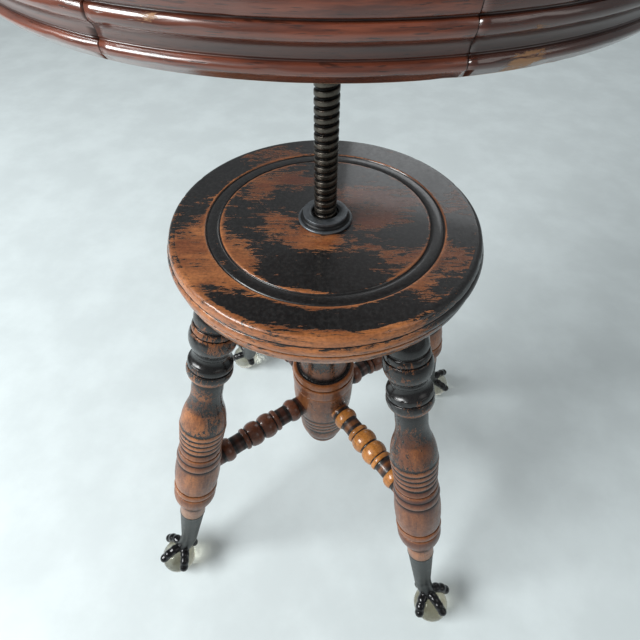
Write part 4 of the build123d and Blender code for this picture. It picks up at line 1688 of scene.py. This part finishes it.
@dataclass
class CollarNut:
    """Cast collar on the platform with the screw's nut in it."""

    top: float = 436.7
    mouth: float = 9.7
    mouth_depth: float = 3.0
    bore: float = 8.6
    barrel: float = 12.5
    barrel_length: float = 36.0
    segments: int = 96

    def wear(self, spot: Vector, height: float, relief: float) -> Wear:
        """Slightly smooth all over."""
        return 0.25, 0.0

    def build(self, material: bpy.types.Material) -> None:
        """Make and settle the nut, whose hidden thread is left out.

        Args:
            material: Its finish.
        """
        cuts: list[Cut] = [(0, 9.9, 0), (0, 16.2, 0), (0.9, 16.2, 0), (3.6, 18.2, -0.9)]
        cuts += [(0, 19.0, 0), (2.2, 19.0, 0.8), (0, self.barrel, 0)]
        cuts += [(self.barrel_length, self.barrel, 0), (0, self.bore, 0)]
        inside = [(self.bore, -38.7), (self.bore, -self.mouth_depth - 0.4)]
        inside += [(self.mouth, -self.mouth_depth), (self.mouth, 0.0)]
        outline = Outline.from_line(np.vstack([sample_cuts(self.mouth, cuts), np.array(inside)]), 0.3)
        spun = Spun.spin(outline, self.segments, closed=True, wobble=0.12, chips=0.15, seed=9.0)
        matrix = Matrix.Translation((0, 0, self.top))
        piece = write_mesh("iron_collar", spun, matrix, material, self.wear)
        settle(piece, Body.BASE, Slot.IRON, "collar_nut")


@dataclass
class ScrewRod:
    """Long screw, its thread built by a node tree that winds an outline up a helix."""

    pitch: float = 5.5
    crest: float = 8.0
    root: float = 6.8
    crest_width: float = 3.3
    root_width: float = 4.3
    bottom: float = 376.1
    boss: float = 571.5
    top: float = 591.5
    rivet_radius: float = 4.0
    rivet_head_radius: float = 6.0
    rivet_head: tuple[float, float] = (369.9, 371.9)
    bite: float = 0.5
    around: int = 56

    def outline(self) -> list[tuple[float, float]]:
        """One turn of the thread, from root to root, with eased corners and a slightly full crest.

        Returns:
            (radius, rise) of each of its points.
        """
        half_crest, half_root = self.crest_width / 2, self.root_width / 2
        rising = [
            (self.root, -half_root - 0.12),
            (self.root + 0.22, -half_root + 0.10),
            (self.crest - 0.30, -half_crest - 0.10),
            (self.crest - 0.03, -half_crest + 0.28),
            (self.crest + 0.03, -half_crest + 0.728),
        ]
        falling = [(radius, -rise) for radius, rise in reversed(rising)]
        return rising + falling + [(self.root, self.pitch - half_root - 0.12)]

    def winding_tree(self, material: bpy.types.Material, turns: int) -> bpy.types.NodeTree:
        """Node tree that winds a grid, one column of it for each point of the outline.

        Args:
            material: The thread's finish.
            turns: How many turns it has.

        Returns:
            The tree, with its pitch and foot as named inputs.
        """
        tree = bpy.data.node_groups.new("wound thread", "GeometryNodeTree")
        tree.interface.new_socket("Geometry", in_out="OUTPUT", socket_type="NodeSocketGeometry")
        pitch = tree.interface.new_socket("Pitch", in_out="INPUT", socket_type="NodeSocketFloat")
        foot = tree.interface.new_socket("Foot", in_out="INPUT", socket_type="NodeSocketFloat")
        pitch.default_value = self.pitch
        foot.default_value = self.bottom
        start = tree.nodes.new("NodeGroupInput")
        end = tree.nodes.new("NodeGroupOutput")
        graph = Graph(tree)
        points = self.outline()
        grid = tree.nodes.new("GeometryNodeMeshGrid")
        grid.inputs["Size X"].default_value = float(turns)
        grid.inputs["Size Y"].default_value = float(len(points) - 1)
        grid.inputs["Vertices X"].default_value = turns * self.around + 1
        grid.inputs["Vertices Y"].default_value = len(points)
        position = tree.nodes.new("GeometryNodeInputPosition")
        parts = graph.node("SeparateXYZ")
        graph.feed(parts.inputs[0], position.outputs[0])
        wound = graph.plus(parts.outputs[0], turns / 2)
        column = graph.plus(parts.outputs[1], (len(points) - 1) / 2)
        radius: Value = 0.0
        rise: Value = 0.0
        for index, (out, up) in enumerate(points):
            here = graph.math("COMPARE", column, float(index))
            here.node.inputs[2].default_value = 0.25
            radius = graph.plus(radius, graph.times(here, out))
            rise = graph.plus(rise, graph.times(here, up))
        angle = graph.times(wound, math.tau)
        climb = graph.plus(graph.times(wound, start.outputs["Pitch"]), start.outputs["Foot"])
        joined = graph.node("CombineXYZ")
        graph.feed(joined.inputs[0], graph.times(graph.math("COSINE", angle), radius))
        graph.feed(joined.inputs[1], graph.times(graph.math("SINE", angle), radius))
        graph.feed(joined.inputs[2], graph.plus(climb, rise))
        moved = tree.nodes.new("GeometryNodeSetPosition")
        graph.feed(moved.inputs["Geometry"], grid.outputs["Mesh"])
        graph.feed(moved.inputs["Position"], joined.outputs[0])
        merged = tree.nodes.new("GeometryNodeMergeByDistance")
        graph.feed(merged.inputs["Distance"], 0.01)
        graph.feed(merged.inputs["Geometry"], moved.outputs[0])
        realised = tree.nodes.new("GeometryNodeRealizeInstances")
        graph.feed(realised.inputs[0], merged.outputs[0])
        dressed = tree.nodes.new("GeometryNodeSetMaterial")
        dressed.inputs["Material"].default_value = material
        graph.feed(dressed.inputs["Geometry"], realised.outputs[0])
        graph.feed(end.inputs[0], dressed.outputs[0])
        return tree

    def build(self, material: bpy.types.Material) -> None:
        """Make and settle the screw.

        Args:
            material: Its finish.
        """
        turns = math.ceil((self.boss - self.bottom) / self.pitch) + 2
        tree = self.winding_tree(material, turns)
        holder = bpy.data.objects.new("thread", bpy.data.meshes.new("thread"))
        bpy.context.scene.collection.objects.link(holder)
        modifier = holder.modifiers.new("wind", "NODES")
        modifier.node_group = tree
        names = {item.name: item.identifier for item in tree.interface.items_tree if item.in_out == "INPUT"}
        modifier[names["Pitch"]] = self.pitch
        modifier[names["Foot"]] = self.bottom - self.pitch
        mesh = bmesh.new()
        mesh.from_mesh(baked(holder))
        upright = Vector((0, 0, 1))
        slice_off(mesh, upright * self.bottom, upright, clear_above=False)
        slice_off(mesh, upright * self.boss, upright, clear_above=True)
        under_head, head_top = self.rivet_head
        self.plain_end(mesh, self.boss - self.bite, self.top, self.crest)
        self.plain_end(mesh, head_top, self.bottom + self.bite, self.rivet_radius)
        self.plain_end(mesh, under_head, head_top, self.rivet_head_radius)
        bmesh.ops.recalc_face_normals(mesh, faces=mesh.faces[:])
        spun = Spun()
        mesh.verts.ensure_lookup_table()
        for vertex in mesh.verts:
            out = math.hypot(vertex.co.x, vertex.co.y)
            spun.vertices.append(vertex.co.copy())
            spun.height.append(vertex.co.z)
            # Roots get a relief of -1, which paints shade in them, and crests get polish.
            spun.relief.append(-1.0 + 1.55 * smooth_step(self.crest - 0.6, self.crest - 0.02, out))
        spun.faces = [tuple(vertex.index for vertex in face.verts) for face in mesh.faces]
        mesh.free()
        piece = write_mesh("threaded_screw", spun, Matrix.Identity(4), material, self.wear)
        settle(piece, Body.SEAT, Slot.SCREW, "screw_rod")

    def wear(self, spot: Vector, height: float, relief: float) -> Wear:
        """Smooth where the crests run in the nut."""
        return 0.15 + 0.35 * max(0.0, relief), 0.0

    def plain_end(self, mesh: bmesh.types.BMesh, low: float, high: float, radius: float) -> None:
        """Add a closed plain cylinder with eased edges.

        Args:
            mesh: The mesh that it joins.
            low: Height of its lower end.
            high: Height of its upper end.
            radius: Its radius.
        """
        sides, ease = 48, 0.3
        spokes = [math.tau * side / sides for side in range(sides)]
        levels = ((low, radius - ease), (low + ease, radius), (high - ease, radius), (high, radius - ease))
        rings = [
            [mesh.verts.new((out * math.cos(spoke), out * math.sin(spoke), level)) for spoke in spokes]
            for level, out in levels
        ]
        close_rings(mesh, rings)


@dataclass
class Seat:
    """Round seat turned from three glued boards with a moulded rim."""

    top: float = 621.0
    thickness: float = 30.0
    top_radius: float = 147.0
    grain_turn: float = 8.8
    joints: tuple[float, float] = (-65.0, 38.0)
    gap: float = 0.12
    segments: int = 256

    def cuts(self) -> list[Cut]:
        """The rim's cuts, from the top face down to the underside.

        Returns:
            The cuts.
        """
        rim: list[Cut] = [(7.4, 154.4, 0.6), (0, 153.2, 0), (0.8, 153.2, 0), (0, 154.6, 0)]
        rim += [(4.4, 154.6, 0.9), (5.0, 152.2, -0.9), (0, 151.6, 0), (0.6, 151.6, 0)]
        rim += [(0, 152.2, 0), (3.8, 152.5, 1.4), (2.6, 150.0, 0)]
        shoulder = self.thickness - sum(cut[0] for cut in rim)
        return [(shoulder, 154.4, 1.5)] + rim

    def wear(self, spot: Vector, height: float, relief: float) -> Wear:
        """Chips on the rim's proud edges, a darker right board, and a dull dark underside.

        Args:
            spot: The point, in millimetres.
            height: Its height under the top face, below zero.
            relief: How proud it is.

        Returns:
            The rub and the tint.
        """
        if height < -self.thickness + 0.3:
            return 0.35, 0.75
        knock = noise.noise(spot * 0.045 + Vector((3, 1, 0)))
        rub = 0.34 * max(0.0, relief) * smooth_step(0.44, 0.62, knock)
        right_board = smooth_step(self.joints[1] - 1.0, self.joints[1], spot.x)
        drift = smooth_step(0.0, 0.5, noise.noise(spot * 0.012))
        return rub, 0.08 + 0.2 * drift + 0.55 * right_board

    def plank(self, number: int) -> Placer:
        """Where a board's points lie in its plank: along z, drawn out like end grain round the rim.

        Args:
            number: The board's number, from the left.

        Returns:
            A function that gives a point's place in the wood.
        """
        offset = Vector((number * 71.0, number * 33.0, number * 190.0))

        def place(spot: Vector) -> Vector:
            """Where a point lies in the plank."""
            rim = -self.thickness + 0.4 < spot.z < -0.4
            return Vector((spot.x * (0.12 if rim else 1.0), spot.z * 1.5, spot.y)) + offset

        return place

    def build(self, material: bpy.types.Material) -> None:
        """Make and settle the three boards.

        Args:
            material: Their finish.
        """
        profile = [(0, self.top_radius, 0)] + self.cuts() + [(0, 0.0, 0)]
        outline = Outline.from_cuts(0.0, profile, 0.35, 5.0)
        spun = Spun.spin(outline, self.segments, wobble=0.2, chips=0.4, seed=6.0)
        turn = Matrix.Rotation(math.radians(self.grain_turn), 4, "Z")
        matrix = turn @ Matrix.Translation((0, 0, self.top))
        edges = (-math.inf, *self.joints, math.inf)
        for number, name in enumerate(("left", "middle", "right")):
            board = self.cut_board(spun, edges[number] + self.gap, edges[number + 1] - self.gap)
            piece = write_mesh(f"seat_{name}", board, matrix, material, self.wear, self.plank(number))
            settle(piece, Body.SEAT, Slot.SEAT, f"seat_board_{name}")

    def cut_board(self, spun: Spun, left: float, right: float) -> Spun:
        """One board between two upright cuts.

        Args:
            spun: The whole seat in its own frame.
            left: Where the board starts, in millimetres, or minus infinity at the seat's edge.
            right: Where it ends, or infinity.

        Returns:
            The board, closed along its cuts.
        """
        mesh = bmesh.new()
        relief_layer = mesh.verts.layers.float.new("relief")
        made = [mesh.verts.new(spot) for spot in spun.vertices]
        for vertex, relief in zip(made, spun.relief):
            vertex[relief_layer] = relief
        for face in spun.faces:
            mesh.faces.new([made[index] for index in face])
        across = Vector((1, 0, 0))
        if math.isfinite(left):
            slice_off(mesh, across * left, across, clear_above=False)
        if math.isfinite(right):
            slice_off(mesh, across * right, across, clear_above=True)
        mesh.verts.index_update()
        board = Spun()
        for vertex in mesh.verts:
            board.vertices.append(vertex.co.copy())
            board.relief.append(vertex[relief_layer])
            board.height.append(vertex.co.z)
        board.faces = [tuple(vertex.index for vertex in face.verts) for face in mesh.faces]
        mesh.free()
        return board


# --------------------------------------------------------------------------------------
# the room
# --------------------------------------------------------------------------------------


class Lamp(NamedTuple):
    """A soft oblong lamp: its place, width and height in metres, and its power in watts."""

    name: str
    spot: tuple[float, float, float]
    size: tuple[float, float]
    power: float
    colour: Colour


@dataclass
class Studio:
    """Pale floor, soft lamps and the camera at the photograph's angle.

    The camera's place and lens are in millimetres, and the rest of the room is in metres.
    """

    eye: tuple[float, float, float] = (43.716, -282.388, 649.535)
    right: tuple[float, float, float] = (0.98577333, 0.16806891, 0.00194774)
    up: tuple[float, float, float] = (-0.12907626, 0.74954595, 0.64924586)
    forward: tuple[float, float, float] = (-0.10765812, 0.64026066, -0.76057611)
    lens: float = 27.0
    sensor: float = 36.0
    aim: tuple[float, float, float] = (0.0, 0.0, 0.35)
    floor_side: float = 6.0
    room_light: float = 0.30
    room_seen: float = 0.86
    lamps: tuple[Lamp, ...] = (
        Lamp("window", (-1.7, -1.1, 1.7), (1.5, 0.8), 82.0, (0.98, 1.0, 1.0)),
        Lamp("far window", (0.3, 2.3, 1.5), (1.0, 1.0), 6.0, (0.95, 0.98, 1.0)),
        Lamp("fill", (2.0, -0.8, 1.6), (1.2, 1.2), 5.0, (1.0, 0.98, 0.95)),
    )

    def build(self) -> None:
        """Make the floor, world, lamps and camera."""
        self.floor()
        self.world()
        for lamp in self.lamps:
            self.hang(lamp)
        bpy.context.scene.view_settings.view_transform = "Standard"
        self.camera()

    def floor(self) -> None:
        """A plain pale floor."""
        mesh = bpy.data.meshes.new("floor")
        half = self.floor_side / 2
        corners = [(-half, -half, 0), (half, -half, 0), (half, half, 0), (-half, half, 0)]
        mesh.from_pydata(corners, [], [(0, 1, 2, 3)])
        made = bpy.data.objects.new("floor", mesh)
        bpy.context.scene.collection.objects.link(made)
        mesh.materials.append(PaleGround("pale floor").build())

    def world(self) -> None:
        """Even pale light from all round, seen as a pale wall."""
        world = bpy.data.worlds.new("room")
        bpy.context.scene.world = world
        world.use_nodes = True
        graph = Graph(world.node_tree)
        back = world.node_tree.nodes["Background"]
        path = graph.node("LightPath")
        seen = graph.math("MAXIMUM", path.outputs["Is Camera Ray"], path.outputs["Is Transmission Ray"])
        graph.feed(back.inputs["Color"], (0.80, 0.84, 0.86))
        graph.feed(back.inputs["Strength"], graph.blend(seen, self.room_light, self.room_seen))

    def hang(self, lamp: Lamp) -> None:
        """Add a lamp that faces the stool.

        Args:
            lamp: The lamp.
        """
        light = bpy.data.lights.new(lamp.name, "AREA")
        light.shape = "RECTANGLE"
        light.size, light.size_y = lamp.size
        light.energy = lamp.power
        light.color = lamp.colour
        made = bpy.data.objects.new(lamp.name, light)
        made.location = lamp.spot
        towards = Vector(self.aim) - Vector(lamp.spot)
        made.rotation_euler = towards.to_track_quat("-Z", "Y").to_euler()
        bpy.context.scene.collection.objects.link(made)

    def camera(self) -> None:
        """Set the camera at the photograph's place."""
        data = bpy.data.cameras.new("camera")
        data.lens = self.lens
        data.sensor_width = self.sensor
        data.sensor_fit = "HORIZONTAL"
        data.clip_start = 0.01
        made = bpy.data.objects.new("camera", data)
        axes = [Vector(self.right), Vector(self.up), -Vector(self.forward)]
        matrix = Matrix([axis.normalized() for axis in axes]).transposed().to_4x4()
        matrix.translation = Vector(self.eye) * MM
        made.matrix_world = matrix
        bpy.context.scene.collection.objects.link(made)
        bpy.context.scene.camera = made


def dress_carried(name: str, material: bpy.types.Material) -> None:
    """Give a solid that stays in view its finish.

    Args:
        name: The solid's name.
        material: Its finish.
    """
    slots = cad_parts[name].data.materials
    if len(slots):
        for index in range(len(slots)):
            slots[index] = material
    else:
        slots.append(material)
    LOG.info("%s: carried solid", name)


PLATFORM_PAINT = RubbedWood(
    "worn black paint on platform",
    stretch=(1.0, 1.0, 0.19),
    scale=64.0,
    pale=(0.49, 0.185, 0.062),
    deep=(0.19, 0.055, 0.019),
)
TURNED_PAINT = RubbedWood(
    "worn black paint on turnings",
    scale=100.0,
    pale=(0.41, 0.148, 0.044),
    deep=(0.120, 0.034, 0.011),
    paint_roughness=0.24,
    dusty=(0.013, 0.012, 0.012),
    varnish=0.30,
)
RED_RAIL = RubbedWood("red-brown rails", scale=110.0, pale=(0.24, 0.085, 0.038), deep=(0.10, 0.030, 0.015))
HONEY_RAIL = RubbedWood("honey rail", scale=110.0, pale=(0.50, 0.20, 0.042), deep=(0.24, 0.075, 0.014))
COLLAR_IRON = Iron(
    "blackened collar",
    colour=(0.052, 0.058, 0.063),
    polished=(0.10, 0.11, 0.12),
    rust=0.1,
    roughness=0.45,
    metallic=0.5,
)
CLAW_IRON = Iron(
    "claw casting",
    colour=(0.047, 0.051, 0.050),
    polished=(0.09, 0.098, 0.098),
    metallic=0.6,
    painted=(0.008, 0.008, 0.009),
)
SCREW_IRON = Iron(
    "oiled screw",
    colour=(0.040, 0.035, 0.030),
    polished=(0.12, 0.105, 0.085),
    rust=0.25,
    metallic=0.9,
    roughness=0.36,
)
HIDDEN_IRON = Iron("spider casting", rust=0.5, carried=True)
HIDDEN_STEEL = Iron(
    "wood screw steel", colour=(0.14, 0.135, 0.13), polished=(0.3, 0.29, 0.27), carried=True
)


@dataclass(frozen=True)
class CornerLook:
    """How one corner differs: black left on its leg, the leg's painted shade, its rail's tint and finish."""

    black: float
    painted_shade: float
    rail_tint: float
    rail: RubbedWood = RED_RAIL


CORNER_LOOKS: dict[Corner, CornerLook] = {
    # The front-right leg, away from the window, gets the most painted shade.
    Corner.FRONT_RIGHT: CornerLook(black=0.04, painted_shade=0.38, rail_tint=0.0, rail=HONEY_RAIL),
    Corner.REAR_RIGHT: CornerLook(black=0.02, painted_shade=0.1, rail_tint=0.35),
    Corner.REAR_LEFT: CornerLook(black=0.04, painted_shade=0.1, rail_tint=0.35),
    Corner.FRONT_LEFT: CornerLook(black=0.0, painted_shade=0.0, rail_tint=0.45),
}


def build_base(effects: SharedEffects) -> None:
    """Build what stands on the floor, up to the collar.

    Args:
        effects: The shared node groups.
    """
    turned = TURNED_PAINT.build(effects)
    rails = {finish.name: finish.build(effects) for finish in (RED_RAIL, HONEY_RAIL)}
    claw_iron = CLAW_IRON.build(effects)
    glass = BallGlass("ball glass").build()
    Platform().build(PLATFORM_PAINT.build(effects))
    CentrePost().build(turned)
    claw = ClawFoot()
    pattern = claw.model()
    for corner, look in CORNER_LOOKS.items():
        Leg(corner, black=look.black, painted_shade=look.painted_shade).build(turned)
        Stretcher(corner, tint=look.rail_tint).build(rails[look.rail.name])
        claw.build(corner, pattern, claw_iron)
        Ball(corner).build(glass)
    CollarNut().build(COLLAR_IRON.build(effects))


def main() -> None:
    """Build every piece in order, then the room."""
    logging.basicConfig(level=logging.INFO, format="%(name)s: %(message)s")
    effects = SharedEffects()
    build_base(effects)
    ScrewRod().build(SCREW_IRON.build(effects))
    Seat().build(SeatVarnish("varnished mahogany").build(effects))
    hidden_iron = HIDDEN_IRON.build(effects)
    dress_carried("spider", hidden_iron)
    dress_carried("stop_washer", hidden_iron)
    dress_carried("wood_screws", HIDDEN_STEEL.build(effects))
    Studio().build()


if __name__ == "__main__":
    main()
